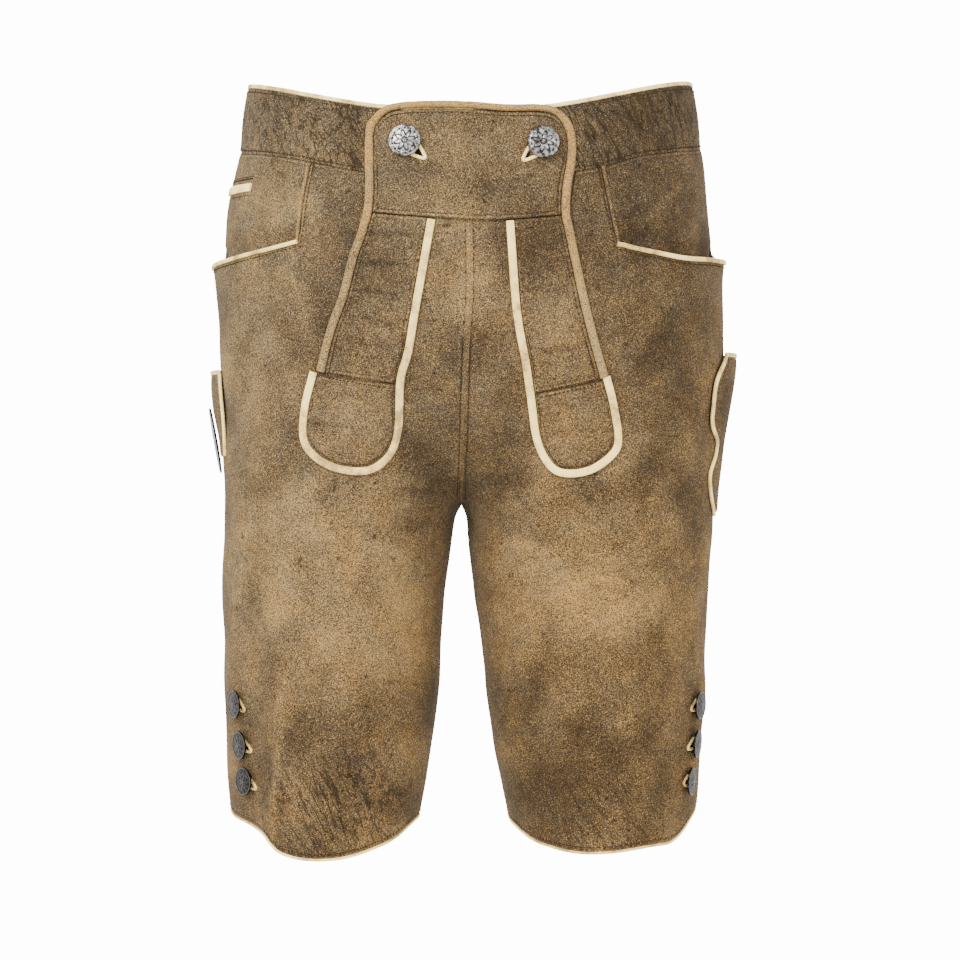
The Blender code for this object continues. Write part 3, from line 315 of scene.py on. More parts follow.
# %% [markdown]
# ## Small wrinkles
# Between the main folds old hide is never smooth. Its wrinkles are longer than they are wide and
# run askew where the wearer bends. Random waves make a good stand-in: many sines whose directions
# scatter about one heading. Lone creases, where the leather broke sharply, are set one by one, as
# short soft troughs.

# %% Waves and troughs
def waves(places, heading, scatter, length, seed, count=14):
    """A field from about -1 to 1: sines with wavelengths near length, headings near heading."""
    random = np.random.default_rng(seed)
    angles = np.radians(heading + scatter * random.standard_normal(count))
    numbers = 2 * np.pi / (length * random.uniform(0.7, 1.5, count))
    phases = random.uniform(0, 2 * np.pi, count)
    total = np.zeros(places.shape[:-1])
    for angle, number, phase in zip(angles, numbers, phases):
        along = places[..., 0] * math.cos(angle) + places[..., 1] * math.sin(angle)
        total = total + np.sin(number * along + phase)
    return total / math.sqrt(count / 2) / 1.6


WAVES = {
    "crackle": (26, 16, 0.0095, 3, 0.00030),
    "small_crackle": (40, 25, 0.0055, 4, 0.00012),
    "soft": (20, 60, 0.045, 5, 0.0005),
    "fine": (50, 30, 0.012, 6, 0.00006),
    "askew": (30, 12, 0.0085, 7, 0.00020),
    "hip": (118, 12, 0.0120, 8, 0.00030),
}


def wave_height(places, name):
    """One named kind of wrinkle, in metres: waves * height."""
    heading, scatter, length, seed, height = WAVES[name]
    return waves(places, heading, scatter, length, seed) * height


def bell(places, x, z, wide, high):
    """A soft patch: exp(-((x - x0) / wide)^2 - ((z - z0) / high)^2)."""
    return np.exp(-((places[..., 0] - x) / wide) ** 2 - ((places[..., 1] - z) / high) ** 2)


def trough(places, x1, z1, x2, z2, width, bow=0.0):
    """A soft line from one place to another, bent by bow, that fades at its ends."""
    start = np.array([x1, z1])
    run = np.array([x2, z2]) - start
    length = np.linalg.norm(run)
    run = run / length
    along = (places - start) @ run / length
    aside = (places - start) @ np.array([-run[1], run[0]]) - bow * (1 - (2 * along - 1) ** 2)
    line = np.exp(-(aside / width) ** 2)
    return line * smooth((along + 0.15) / 0.4) * smooth((1.15 - along) / 0.4)


def crease_depth(places, crease):
    """One crease's depth at places: depth * trough."""
    ends = (crease["x1"], crease["z1"], crease["x2"], crease["z2"])
    return crease["depth"] * trough(places, *ends, crease["width"], crease["bow"])


print("kinds of wrinkle:", ", ".join(WAVES))

# %% Lone creases
CREASE_COLUMNS = ("x1", "z1", "x2", "z2", "width", "depth", "bow")
FRONT_CREASES = (
    CREASE_COLUMNS,
    (-0.020, -0.283, -0.070, -0.300, 0.006, -0.0009, 0.004),
    (-0.012, -0.262, -0.050, -0.270, 0.005, -0.0007, 0.003),
    (0.018, -0.283, 0.072, -0.303, 0.006, -0.0009, -0.004),
    (0.012, -0.258, 0.048, -0.262, 0.005, -0.0006, -0.003),
    (-0.0783, -0.4647, -0.0644, -0.4891, 0.0024, -0.0010, 0.0008),
    (-0.0512, -0.4731, -0.0442, -0.4842, 0.0022, -0.0009, 0.0004),
    (-0.0900, -0.4700, -0.0790, -0.4960, 0.0030, -0.0006, -0.0008),
    (-0.0651, -0.5051, -0.0616, -0.5135, 0.0022, -0.0009, 0.0003),
    (-0.1055, -0.5095, -0.0985, -0.5205, 0.0022, -0.0009, 0.0003),
    (-0.0957, -0.5030, -0.0867, -0.5140, 0.0022, -0.0008, 0.0004),
    (-0.0560, -0.4420, -0.0470, -0.4640, 0.0026, -0.0006, 0.0006),
    (-0.1248, -0.3980, -0.1342, -0.5080, 0.0030, 0.0016, 0.0004),
    (-0.150, -0.330, -0.120, -0.400, 0.007, -0.0008, -0.004),
    (0.150, -0.330, 0.118, -0.395, 0.007, -0.0007, 0.004),
    (0.060, -0.420, 0.120, -0.470, 0.008, -0.0007, 0.004),
    (-0.150, -0.130, -0.110, -0.185, 0.008, -0.0008, 0.004),
    (0.160, -0.135, 0.118, -0.190, 0.008, -0.0008, -0.004),
    (-0.070, -0.330, -0.040, -0.420, 0.007, -0.0006, 0.004),
    (0.070, -0.340, 0.045, -0.430, 0.007, -0.0006, -0.004),
)
BACK_CREASES = (
    CREASE_COLUMNS,
    (-0.018, -0.262, -0.075, -0.292, 0.007, -0.0014, 0.005),
    (0.018, -0.262, 0.078, -0.290, 0.007, -0.0014, -0.005),
    (-0.015, -0.285, -0.070, -0.325, 0.006, -0.0010, 0.004),
    (0.015, -0.283, 0.072, -0.322, 0.006, -0.0010, -0.004),
    (-0.030, -0.090, -0.110, -0.070, 0.008, -0.0008, 0.004),
    (0.030, -0.092, 0.112, -0.073, 0.008, -0.0008, -0.004),
    (-0.140, -0.400, -0.070, -0.440, 0.007, -0.0008, 0.004),
    (0.138, -0.405, 0.072, -0.438, 0.007, -0.0008, -0.004),
    (-0.125, -0.330, -0.060, -0.345, 0.006, -0.0009, -0.003),
    (0.125, -0.335, 0.060, -0.350, 0.006, -0.0009, 0.003),
)


def creases(places, share):
    """The sum of the lone creases of the face that each place is on."""
    front = smooth((share + 0.15) / 0.3)
    total = np.zeros(share.shape)
    for table, face in ((FRONT_CREASES, front), (BACK_CREASES, 1 - front)):
        for crease in named_rows(table):
            total = total + crease_depth(places, crease) * face
    return total


print("lone creases:", len(FRONT_CREASES) - 1, "in front and", len(BACK_CREASES) - 1, "behind")

# %% The finished leather
BENT_PLACES = {
    "right leg": (-0.075, -0.490, 0.050, 0.045),
    "left leg": (0.090, -0.490, 0.060, 0.040),
    "seat": (0.0, -0.270, 0.080, 0.050),
    "left hip": (0.130, -0.075, 0.035, 0.030),
}
BAND_BLEND = 0.004


def wrinkles(side, share, z):
    """Small wrinkles all over, stronger where hide bends: waistband, crotch, hips, lower legs."""
    base = body(side, share, z)
    round_way = base[..., 0] + base[..., 1] * 0.6 * SIDES[side]
    places = np.stack([round_way, base[..., 2]], -1)
    flat = np.stack([base[..., 0], base[..., 2]], -1)
    bent = {name: bell(flat, *place) for name, place in BENT_PLACES.items()}
    band = smooth((z - column(WAIST_SEAM, side, share)) / BAND_BLEND)
    facing = smooth((np.abs(share) - 0.06) / 0.2)
    crackle = wave_height(places, "crackle") + wave_height(places, "small_crackle")
    lower = bent["right leg"] + bent["left leg"] * 0.5
    small = wave_height(places, "fine") * (0.5 + bent["seat"])
    small = small + wave_height(places, "askew") * lower
    small = small + wave_height(places, "hip") * bent["left hip"]
    below_band = wave_height(places, "soft") + small * (0.3 + 0.7 * facing)
    total = band * facing * crackle + (1 - band) * below_band
    return total + (1 - band) * creases(flat, share)


TONE_PER_METRE = 170.0
DARKEST_CREASE = -0.24
PALEST_RIDGE = 0.16


def crease_shading(height):
    """Painted shade in wrinkle troughs and painted highlight on their ridges: tone = rate * height,
    within limits.
    """
    return np.clip(TONE_PER_METRE * height, DARKEST_CREASE, PALEST_RIDGE)


def hide(side, share, z, lift=0.0, with_gape=True):
    """A place on the finished leather: the surface moved out by folds, gape, wrinkles and lift."""
    share, z = np.broadcast_arrays(np.asarray(share, float), np.asarray(z, float))
    out = folds(side, share, z) + wrinkles(side, share, z) + lift
    if with_gape:
        out = out + gape(side, share, z)
    move = normal(side, share, z) * out[..., None]
    near_centre = smooth((np.abs(share) - 0.96) / 0.03) * smooth((z - CROTCH_Z) / 0.004 + 1)
    move[..., 0] = move[..., 0] * (1 - near_centre)
    points = body(side, share, z) + move
    centre = column(SECTIONS, "centre", z)
    x = np.maximum((points[..., 0] - centre) * SIDES[side], 0.0)
    points[..., 0] = centre + SIDES[side] * x
    return points


def share_at(side, x, z):
    """The share whose front place has this x, found by halving."""
    centre = column(SECTIONS, "centre", z)
    wanted = (x - centre) * SIDES[side]
    low = np.zeros(np.shape(x))
    high = np.ones(np.shape(x))
    for _ in range(24):
        middle = (low + high) / 2
        reach = (body(side, middle, z)[..., 0] - centre) * SIDES[side]
        low = np.where(reach > wanted, middle, low)
        high = np.where(reach > wanted, high, middle)
    return (low + high) / 2


def on_front(places, lift):
    """Places over the front at x and z, moved out by lift; each half serves its own side."""
    x = places[..., 0]
    z = places[..., 1]
    lift = np.broadcast_to(lift, x.shape)
    right = hide("right", share_at("right", x, z), z, lift)
    left = hide("left", share_at("left", x, z), z, lift)
    on_right = x < column(SECTIONS, "centre", z)
    return np.where(on_right[..., None], right, left)


def round_shares(first, last, behind, ahead):
    """Shares from the back (below 0) to the front, counted on each side of the side seam."""
    return np.concatenate([np.linspace(first, 0, behind)[:-1], np.linspace(0, last, ahead)])


def level(side, share, table, offset=0.0):
    """The height of a round seam or edge at a share, plus an offset."""
    return column(table, side, share) + offset


band_wrinkles = wrinkles("right", np.linspace(0, 1, 99), np.zeros(99))
print("deepest wrinkle on the waistband, mm:", round(1000 * float(np.abs(band_wrinkles).max()), 2))


# %% [markdown]
# ## Lines
# Trim, stitches and edges all follow lines. A few points set by hand are joined by a Catmull-Rom
# curve and then read again at equal steps, so that stitches come out evenly spaced.

# %% Line helpers
def resample(line, count):
    """The same line as count places at equal steps of length."""
    steps = np.linalg.norm(np.diff(line, axis=0), axis=1)
    length = np.concatenate([[0.0], np.cumsum(steps)])
    wanted = np.linspace(0, length[-1], count)
    return np.stack([np.interp(wanted, length, line[:, k]) for k in range(line.shape[1])], 1)


def line_length(line):
    """The length of a line."""
    return float(np.linalg.norm(np.diff(line, axis=0), axis=1).sum())


def trace(points, count):
    """A Catmull-Rom curve through the points, as count places at equal steps."""
    points = np.array(points, float)
    padded = np.vstack([2 * points[0] - points[1], points, 2 * points[-1] - points[-2]])
    t = np.linspace(0, 1, 24, endpoint=False)[:, None]
    runs = []
    for a, b, c, d in zip(padded[:-3], padded[1:-2], padded[2:-1], padded[3:]):
        cubic = (3 * b - a - 3 * c + d) * t ** 3
        runs.append(0.5 * (2 * b + (c - a) * t + (2 * a - 5 * b + 4 * c - d) * t ** 2 + cubic))
    return resample(np.vstack(runs + [points[-1:]]), count)


def beside(line, distance):
    """A flat line moved sideways, to the left of its direction when distance is above 0."""
    direction = unit(np.gradient(line, axis=0))
    return line + np.stack([-direction[:, 1], direction[:, 0]], 1) * distance


def sideways(line, out, closed=False):
    """The direction across a line that lies on leather: out x run."""
    run = np.roll(line, -1, 0) - np.roll(line, 1, 0) if closed else np.gradient(line, axis=0)
    return unit(np.cross(out, unit(run)))


def coons(foot, top, start, end):
    """A Coons patch between four flat edges: foot and top run across, start and end run up."""
    u = np.linspace(0, 1, len(foot))[None, :, None]
    v = np.linspace(0, 1, len(start))[:, None, None]
    across = foot[None] * (1 - v) + top[None] * v
    upward = start[:, None] * (1 - u) + end[:, None] * u
    corners = (foot[0] * (1 - u) + foot[-1] * u) * (1 - v) + (top[0] * (1 - u) + top[-1] * u) * v
    return across + upward - corners


# %% [markdown]
# ## Materials
# The hide is nubuck: the grain side buffed to a nap, then rubbed with dark wax so that it looks
# long worn. Up close it is a salt-and-pepper of pale nap and dark pores; from afar, soft clouds of
# light and dark. The clouds come in two ways: a tone that each vertex carries, set where wear and
# wax would be, with painted shade and highlight on wrinkles and seams and painted shadow beside
# raised edges, and noise on top of it.

# %% Material helpers
def new_material(name):
    """An empty material, its node tree and its Principled shader."""
    material = bpy.data.materials.new(name)
    material.use_nodes = True
    tree = material.node_tree
    return material, tree, tree.nodes["Principled BSDF"]


def node(tree, kind, sockets=None, **settings):
    """Add a node, with its settings and its sockets' plain values."""
    made = tree.nodes.new(kind)
    for key, value in settings.items():
        setattr(made, key, value)
    for socket, number in (sockets or {}).items():
        made.inputs[socket].default_value = number
    return made


def noise(tree, coords, scale, detail=2.0, rough=0.5):
    """A noise texture on object coordinates."""
    made = node(tree, "ShaderNodeTexNoise", {"Scale": scale, "Detail": detail, "Roughness": rough})
    tree.links.new(coords, made.inputs["Vector"])
    return made.outputs["Fac"]


def object_coordinates(tree):
    """Places in metres, the same on every piece because no piece is turned or moved."""
    return node(tree, "ShaderNodeTexCoord").outputs["Object"]


def carried(tree, name):
    """A number that each vertex of a piece carries."""
    return node(tree, "ShaderNodeAttribute", attribute_name=name).outputs["Fac"]


def weigh(tree, source, low, high, to_low, to_high):
    """Map a number from one range to another."""
    made = node(tree, "ShaderNodeMapRange", {
        "From Min": low, "From Max": high, "To Min": to_low, "To Max": to_high,
    })
    tree.links.new(source, made.inputs["Value"])
    return made.outputs["Result"]


def add(tree, first, second, operation="ADD"):
    """Add two numbers, or join them in another of the Math node's ways."""
    made = node(tree, "ShaderNodeMath", operation=operation)
    tree.links.new(first, made.inputs[0])
    if isinstance(second, float):
        made.inputs[1].default_value = second
    else:
        tree.links.new(second, made.inputs[1])
    return made.outputs["Value"]


def tone_ramp(tree, tone, stops):
    """Turn a tone into a colour, with a ramp whose stops are (position, (r, g, b))."""
    ramp = node(tree, "ShaderNodeValToRGB")
    elements = ramp.color_ramp.elements
    while len(elements) < len(stops):
        elements.new(0.5)
    for element, (position, colour) in zip(elements, stops):
        element.position = position
        element.color = (*colour, 1.0)
    tree.links.new(tone, ramp.inputs["Fac"])
    return ramp.outputs["Color"]


def bump(tree, height, strength, distance):
    """A Bump node that reads a height."""
    made = node(tree, "ShaderNodeBump", {"Strength": strength, "Distance": distance})
    tree.links.new(height, made.inputs["Height"])
    return made


def blend(tree, factor, first, second, kind="MIX"):
    """Mix two colours."""
    made = node(tree, "ShaderNodeMix", data_type="RGBA", blend_type=kind)
    for value, place in ((factor, "Factor"), (first, 6), (second, 7)):
        if isinstance(value, (float, tuple)):
            made.inputs[place].default_value = value
        else:
            tree.links.new(value, made.inputs[place])
    return made.outputs[2]


def set_shader(tree, shader, colour, surface, **values):
    """Wire a colour and a bumped surface into the shader and set the rest of its sockets."""
    tree.links.new(colour, shader.inputs["Base Color"])
    if surface is not None:
        tree.links.new(surface.outputs["Normal"], shader.inputs["Normal"])
    for name, value in values.items():
        shader.inputs[name.replace("_", " ")].default_value = value


print("material helpers ready")

# %% Layers, cracks and seams
LAYERS = {
    "clouds": (24.0, 4.0, 0.60, 0.30, 0.70, 0.09),
    "mottle": (110.0, 3.0, 0.60, 0.30, 0.70, 0.08),
    "nap": (1900.0, 1.0, 0.50, 0.25, 0.75, 0.62),
    "pores": (1150.0, 1.0, 0.50, 0.25, 0.75, 0.33),
    "hue": (45.0, 3.0, 0.60, 0.30, 0.70, 0.35),
    "dirt": (22.0, 2.0, 0.50, 0.35, 0.65, 0.16),
    "grain": (900.0, 2.0, 0.60, 0.20, 0.80, 0.12),
    "stain": (380.0, 4.0, 0.60, 0.30, 0.70, 0.30),
}


def layer(tree, coords, name, strength=1.0):
    """A layer's noise, and the same noise spread from -reach * strength to reach * strength."""
    scale, detail, rough, low, high, reach = LAYERS[name]
    source = noise(tree, coords, scale, detail, rough)
    return source, weigh(tree, source, low, high, -reach * strength, reach * strength)


CRACK_STRETCH = 5.5


def cracks(tree, coords, tilt, scale, thin):
    """Crack lines where a noise stretched along the tilt is near a half: 1 - |n - 0.5| / thin."""
    mapping = node(tree, "ShaderNodeMapping", {
        "Rotation": (0.0, math.radians(tilt), 0.0), "Scale": (CRACK_STRETCH, 1.0, 1.0),
    }, vector_type="TEXTURE")
    tree.links.new(coords, mapping.inputs["Vector"])
    field = noise(tree, mapping.outputs["Vector"], scale, detail=2.0, rough=0.55)
    away = node(tree, "ShaderNodeMath", operation="ABSOLUTE")
    tree.links.new(add(tree, field, -0.5), away.inputs[0])
    return weigh(tree, away.outputs["Value"], 0.0, thin, 1.0, 0.0)


EDGE_REACH = 7.0
# Painted shade and highlight by distance in mm from a sewn edge: dark in the seam, pale on the
# rolled ridge, dark at the stitch line.
EDGE_SHADING = (
    (0.0, 0.16),
    (0.4, 0.34),
    (0.9, 0.59),
    (2.0, 0.57),
    (2.6, 0.37),
    (3.2, 0.47),
    (4.4, 0.50),
    (EDGE_REACH, 0.50),
)


def seam_shading(tree):
    """Painted shade and highlight along sewn edges, by distance: dark in the seam, pale on the
    rolled ridge, dark again at the stitch line.
    """
    edge = carried(tree, "edge")
    curve = node(tree, "ShaderNodeFloatCurve")
    points = curve.mapping.curves[0].points
    points[0].location = (0.0, EDGE_SHADING[0][1])
    points[-1].location = (1.0, EDGE_SHADING[-1][1])
    for place, value in EDGE_SHADING[1:-1]:
        points.new(place / EDGE_REACH, value)
    tree.links.new(weigh(tree, edge, 0.0, EDGE_REACH, 0.0, 1.0), curve.inputs["Value"])
    return add(tree, curve.outputs["Value"], -0.5)


print("layers of noise:", ", ".join(LAYERS))


# %% Hide
def hide_material(name, cool, warm, grain=1.0, seams=True):
    """Nubuck: tone + layers + cracks + painted seam shade and highlight reads a cool and a warm
    ramp, mixed by warmth.
    """
    material, tree, shader = new_material(name)
    coords = object_coordinates(tree)
    clouds = layer(tree, coords, "clouds")[1]
    mottle = layer(tree, coords, "mottle")[1]
    nap, specks = layer(tree, coords, "nap", grain)
    grains, pores = layer(tree, coords, "pores", grain)
    total = add(tree, carried(tree, "tone"), clouds)
    total = add(tree, total, add(tree, mottle, add(tree, specks, pores)))
    lines = cracks(tree, coords, tilt=62.0, scale=150.0, thin=0.035)
    lines = add(tree, lines, carried(tree, "crinkle"), "MULTIPLY")
    total = add(tree, total, weigh(tree, lines, 0.0, 1.0, 0.03, -0.46))
    if seams:
        total = add(tree, total, seam_shading(tree))
    hue = add(tree, carried(tree, "warm"), layer(tree, coords, "hue")[1])
    hue.node.use_clamp = True
    colour = blend(tree, hue, tone_ramp(tree, total, cool), tone_ramp(tree, total, warm))
    specked = noise(tree, coords, scale=170.0, detail=1.0)
    spots = weigh(tree, specked, 0.70, 0.76, 1.0, 0.50)
    colour = blend(tree, 1.0, colour, spots, "MULTIPLY")
    raised = add(tree, grains, weigh(tree, nap, 0.0, 1.0, 0.0, 0.7))
    skin = bump(tree, raised, strength=0.5, distance=0.0005)
    sunk = weigh(tree, lines, 0.0, 1.0, 1.0, 0.0)
    broken = bump(tree, sunk, strength=0.7, distance=0.0009)
    tree.links.new(broken.outputs["Normal"], skin.inputs["Normal"])
    set_shader(
        tree, shader, colour, skin, Roughness=0.95, Specular_IOR_Level=0.06, Sheen_Weight=0.05,
        Sheen_Roughness=0.5, Sheen_Tint=(0.95, 0.82, 0.62, 1.0),
    )
    return material


COOL_HIDE = (
    (0.00, (0.0200, 0.0140, 0.0085)),
    (0.25, (0.0410, 0.0300, 0.0185)),
    (0.50, (0.0750, 0.0560, 0.0345)),
    (0.75, (0.1380, 0.0980, 0.0520)),
    (1.00, (0.3300, 0.2200, 0.0900)),
)
WARM_HIDE = (
    (0.00, (0.0220, 0.0130, 0.0060)),
    (0.25, (0.0440, 0.0275, 0.0120)),
    (0.50, (0.0830, 0.0525, 0.0240)),
    (0.75, (0.1620, 0.0960, 0.0380)),
    (1.00, (0.3900, 0.2200, 0.0640)),
)
INSIDE_HIDE = (
    (0.0, (0.040, 0.026, 0.014)),
    (0.5, (0.085, 0.058, 0.032)),
    (1.0, (0.180, 0.120, 0.060)),
)
hide_outside = hide_material("nubuck_outside", COOL_HIDE, WARM_HIDE)
hide_inside = hide_material("suede_inside", INSIDE_HIDE, INSIDE_HIDE, grain=0.5, seams=False)
trim_brown = hide_material("rolled_trim", COOL_HIDE, WARM_HIDE, grain=1.3, seams=False)
print("hide materials made")


# %% [markdown]
# The pale piping is undyed leather, smooth and only a little dirty. The thread and the painted
# shadow inside a buttonhole are plainer still: a colour and a fine noise. Metal needs its relief
# too, which each vertex carries, so that it is dark in its grooves.

# %% Cream leather, thread and metal
def cream_material(name):
    """Undyed leather: cream with faint dirt, a fine grain and painted shade low on its sides, where
    it meets the leather.
    """
    material, tree, shader = new_material(name)
    coords = object_coordinates(tree)
    fine, grain = layer(tree, coords, "grain")
    dirt = add(tree, noise(tree, coords, 120.0, 4.0, 0.6), layer(tree, coords, "dirt")[1])
    colour = tone_ramp(tree, add(tree, dirt, grain), CREAM_HIDE)
    # Painted contact shadow, darker towards the section's base.
    contact_shade = weigh(tree, carried(tree, "low"), 0.0, 1.0, 1.0, 0.30)
    colour = blend(tree, 1.0, colour, contact_shade, "MULTIPLY")
    skin = bump(tree, fine, strength=0.3, distance=0.0003)
    set_shader(tree, shader, colour, skin, Roughness=0.7, Specular_IOR_Level=0.2)
    return material


def thread_material(name, colour):
    """Waxed thread: one colour with a twist seen as fine noise."""
    material, tree, shader = new_material(name)
    fine = noise(tree, object_coordinates(tree), 1500.0, 1.0)
    shade = tuple(part * 0.55 for part in colour)
    twist = tone_ramp(tree, fine, ((0.3, shade), (0.6, colour)))
    set_shader(tree, shader, twist, None, Roughness=0.75, Specular_IOR_Level=0.06)
    return material


def metal_material(name, dark, light, rough, bump_scale, bump_strength):
    """Aged metal: bright where it is rubbed, dark in its pits, with a worked surface."""
    material, tree, shader = new_material(name)
    coords = object_coordinates(tree)
    stain, patches = layer(tree, coords, "stain")
    total = add(tree, carried(tree, "relief"), patches)
    colour = tone_ramp(tree, total, ((0.15, dark), (0.65, light)))
    pits = bump(tree, noise(tree, coords, bump_scale), bump_strength, 0.0004)
    set_shader(tree, shader, colour, pits, Metallic=1.0)
    dull = weigh(tree, stain, 0.3, 0.7, rough - 0.08, rough + 0.12)
    tree.links.new(dull, shader.inputs["Roughness"])
    return material


CREAM_HIDE = (
    (0.26, (0.36, 0.23, 0.080)),
    (0.46, (0.78, 0.54, 0.18)),
    (0.66, (1.0, 0.77, 0.27)),
)
cream = cream_material("cream_leather")
thread_brown = thread_material("thread_brown", (0.034, 0.022, 0.012))
# A near-black sheet laid inside each buttonhole: painted shadow in its opening.
slit_shadow = thread_material("slit_shadow", (0.010, 0.007, 0.005))
pewter = metal_material(
    "pewter", dark=(0.024, 0.022, 0.021), light=(0.375, 0.36, 0.345),
    rough=0.30, bump_scale=900.0, bump_strength=0.15,
)
gunmetal = metal_material(
    "gunmetal", dark=(0.0036, 0.0030, 0.0027), light=(0.080, 0.069, 0.062),
    rough=0.34, bump_scale=620.0, bump_strength=0.5,
)
print("cream, thread and metal materials made")


# %% [markdown]
# ## Tone
# Wax and wear don't fall by chance. Seats, hips and thighs rub pale; waistbands, pocket corners and
# the parts under the flap stay dark. Each row below is one soft cloud in space: where it lies, how
# far it reaches and how much lighter or darker it makes the hide. The narrow dark rows just outside
# the outer edges of the flap and strips are partly wax and partly painted shadow of those raised
# edges; the dark row low in the crotch is painted shade.

# %% Patina table
CLOUD_COLUMNS = ("x", "y", "z", "wide", "deep", "high", "amount")
CLOUDS = (
    CLOUD_COLUMNS,
    (-0.130, -0.07, 0.000, 0.045, 0.10, 0.030, -0.10),
    (-0.078, -0.09, -0.010, 0.020, 0.07, 0.040, -0.11),
    (0.105, -0.09, 0.000, 0.045, 0.10, 0.045, -0.34),
    (0.155, -0.04, 0.000, 0.030, 0.10, 0.040, -0.16),
    (-0.145, -0.06, -0.070, 0.030, 0.09, 0.032, 0.10),
    (0.125, -0.07, -0.075, 0.040, 0.09, 0.034, -0.28),
    (0.170, -0.03, -0.090, 0.004, 0.08, 0.020, -0.30),
    (-0.100, -0.10, -0.065, 0.014, 0.07, 0.040, 0.02),
    # The rows at x -0.076, -0.083, -0.098 and 0.092 lie just outside the outer edges of the flap
    # and strips: partly wax, partly painted shadow of those raised edges.
    (-0.076, -0.11, -0.075, 0.010, 0.07, 0.040, -0.14),
    (0.085, -0.10, -0.075, 0.014, 0.07, 0.040, 0.04),
    (-0.083, -0.10, -0.120, 0.014, 0.07, 0.050, -0.20),
    (-0.098, -0.09, -0.155, 0.010, 0.07, 0.040, -0.24),
    (0.092, -0.10, -0.130, 0.014, 0.07, 0.050, -0.14),
    (-0.140, -0.07, -0.150, 0.035, 0.09, 0.050, 0.08),
    (-0.150, -0.06, -0.230, 0.035, 0.09, 0.050, 0.02),
    (0.140, -0.07, -0.145, 0.035, 0.09, 0.050, -0.18),
    (0.145, -0.06, -0.225, 0.040, 0.09, 0.050, -0.14),
    (0.000, -0.12, -0.020, 0.035, 0.06, 0.020, 0.05),
    (0.004, -0.12, -0.013, 0.012, 0.06, 0.009, -0.10),
    (0.000, -0.12, -0.052, 0.030, 0.06, 0.012, -0.06),
    (0.014, -0.12, -0.062, 0.016, 0.06, 0.009, -0.10),
    (-0.050, -0.12, -0.092, 0.018, 0.06, 0.012, 0.04),
    (-0.050, -0.12, -0.116, 0.022, 0.06, 0.018, -0.12),
    (-0.060, -0.12, -0.165, 0.022, 0.06, 0.022, -0.03),
    (-0.075, -0.12, -0.220, 0.030, 0.06, 0.030, 0.14),
    (0.048, -0.12, -0.100, 0.026, 0.06, 0.028, -0.34),
    (0.065, -0.12, -0.160, 0.026, 0.06, 0.030, 0.14),
    (0.075, -0.12, -0.225, 0.030, 0.06, 0.030, 0.06),
    (0.000, -0.12, -0.110, 0.022, 0.06, 0.040, 0.22),
    (0.000, -0.12, -0.170, 0.026, 0.06, 0.022, -0.20),
    (-0.028, -0.12, -0.237, 0.024, 0.06, 0.026, -0.16),
    (0.024, -0.12, -0.240, 0.026, 0.06, 0.028, -0.27),
    (-0.110, -0.08, -0.310, 0.070, 0.11, 0.032, 0.22),
    (-0.100, -0.08, -0.370, 0.065, 0.11, 0.032, 0.20),
    (0.050, -0.08, -0.300, 0.045, 0.11, 0.026, 0.18),
    (0.084, -0.11, -0.268, 0.016, 0.07, 0.010, -0.06),
    (0.080, -0.10, -0.304, 0.022, 0.07, 0.009, -0.06),
    (0.165, -0.05, -0.300, 0.014, 0.10, 0.030, -0.12),
    (0.115, -0.08, -0.262, 0.040, 0.09, 0.012, -0.03),
    (0.090, -0.08, -0.345, 0.065, 0.11, 0.030, 0.26),
    (0.065, -0.08, -0.318, 0.022, 0.09, 0.010, -0.04),
    (-0.095, -0.06, -0.460, 0.065, 0.11, 0.048, -0.14),
    (-0.045, -0.06, -0.370, 0.018, 0.09, 0.070, 0.25),
    (0.090, -0.06, -0.455, 0.075, 0.11, 0.058, -0.18),
    (0.050, -0.05, -0.490, 0.040, 0.09, 0.035, -0.19),
    (-0.060, 0.11, -0.190, 0.070, 0.08, 0.070, 0.18),
    (0.065, 0.11, -0.185, 0.070, 0.08, 0.070, 0.16),
    (0.000, 0.11, -0.080, 0.080, 0.08, 0.040, -0.12),
    (-0.090, 0.09, -0.340, 0.070, 0.08, 0.060, 0.08),
    (0.090, 0.09, -0.350, 0.070, 0.08, 0.060, 0.08),
    (-0.090, 0.08, -0.470, 0.080, 0.08, 0.050, -0.14),
    (0.090, 0.08, -0.470, 0.080, 0.08, 0.050, -0.14),
    # Painted shade low in the crotch, between the legs.
    (0.000, 0.02, -0.290, 0.040, 0.08, 0.060, -0.18),
    (0.187, -0.03, -0.215, 0.007, 0.06, 0.045, -0.24),
)
BASE_TONE = 0.44
CRINKLES = (
    CLOUD_COLUMNS,
    (-0.085, -0.08, -0.487, 0.050, 0.10, 0.034, 1.00),
    (0.090, -0.07, -0.495, 0.050, 0.10, 0.028, 0.45),
    (0.135, -0.08, -0.075, 0.035, 0.10, 0.030, 0.40),
    (0.000, -0.10, -0.272, 0.045, 0.08, 0.024, 0.40),
    (-0.150, 0.02, -0.350, 0.040, 0.10, 0.050, 0.30),
    (0.150, 0.02, -0.360, 0.040, 0.10, 0.050, 0.30),
    (0.000, 0.12, -0.270, 0.090, 0.08, 0.034, 0.60),
    (-0.090, 0.09, -0.400, 0.060, 0.08, 0.040, 0.50),
    (0.090, 0.09, -0.400, 0.060, 0.08, 0.040, 0.50),
)


def sum_bells(points, table, start):
    """A start plus every row's amount * exp(-(x / wide)^2 - (y / deep)^2 - (z / high)^2)."""
    total = start + np.zeros(points.shape[:-1])
    for row in named_rows(table):
        x = (points[..., 0] - row["x"]) / row["wide"]
        y = (points[..., 1] - row["y"]) / row["deep"]
        z = (points[..., 2] - row["z"]) / row["high"]
        total = total + row["amount"] * np.exp(-(x ** 2 + y ** 2) - z ** 2)
    return total


def tone_at(points, offset=0.0):
    """The tone at places in space: a base plus every cloud."""
    return sum_bells(points, CLOUDS, BASE_TONE + offset)


BASE_WARMTH = 0.55
CORD_FADE_Z = -0.07


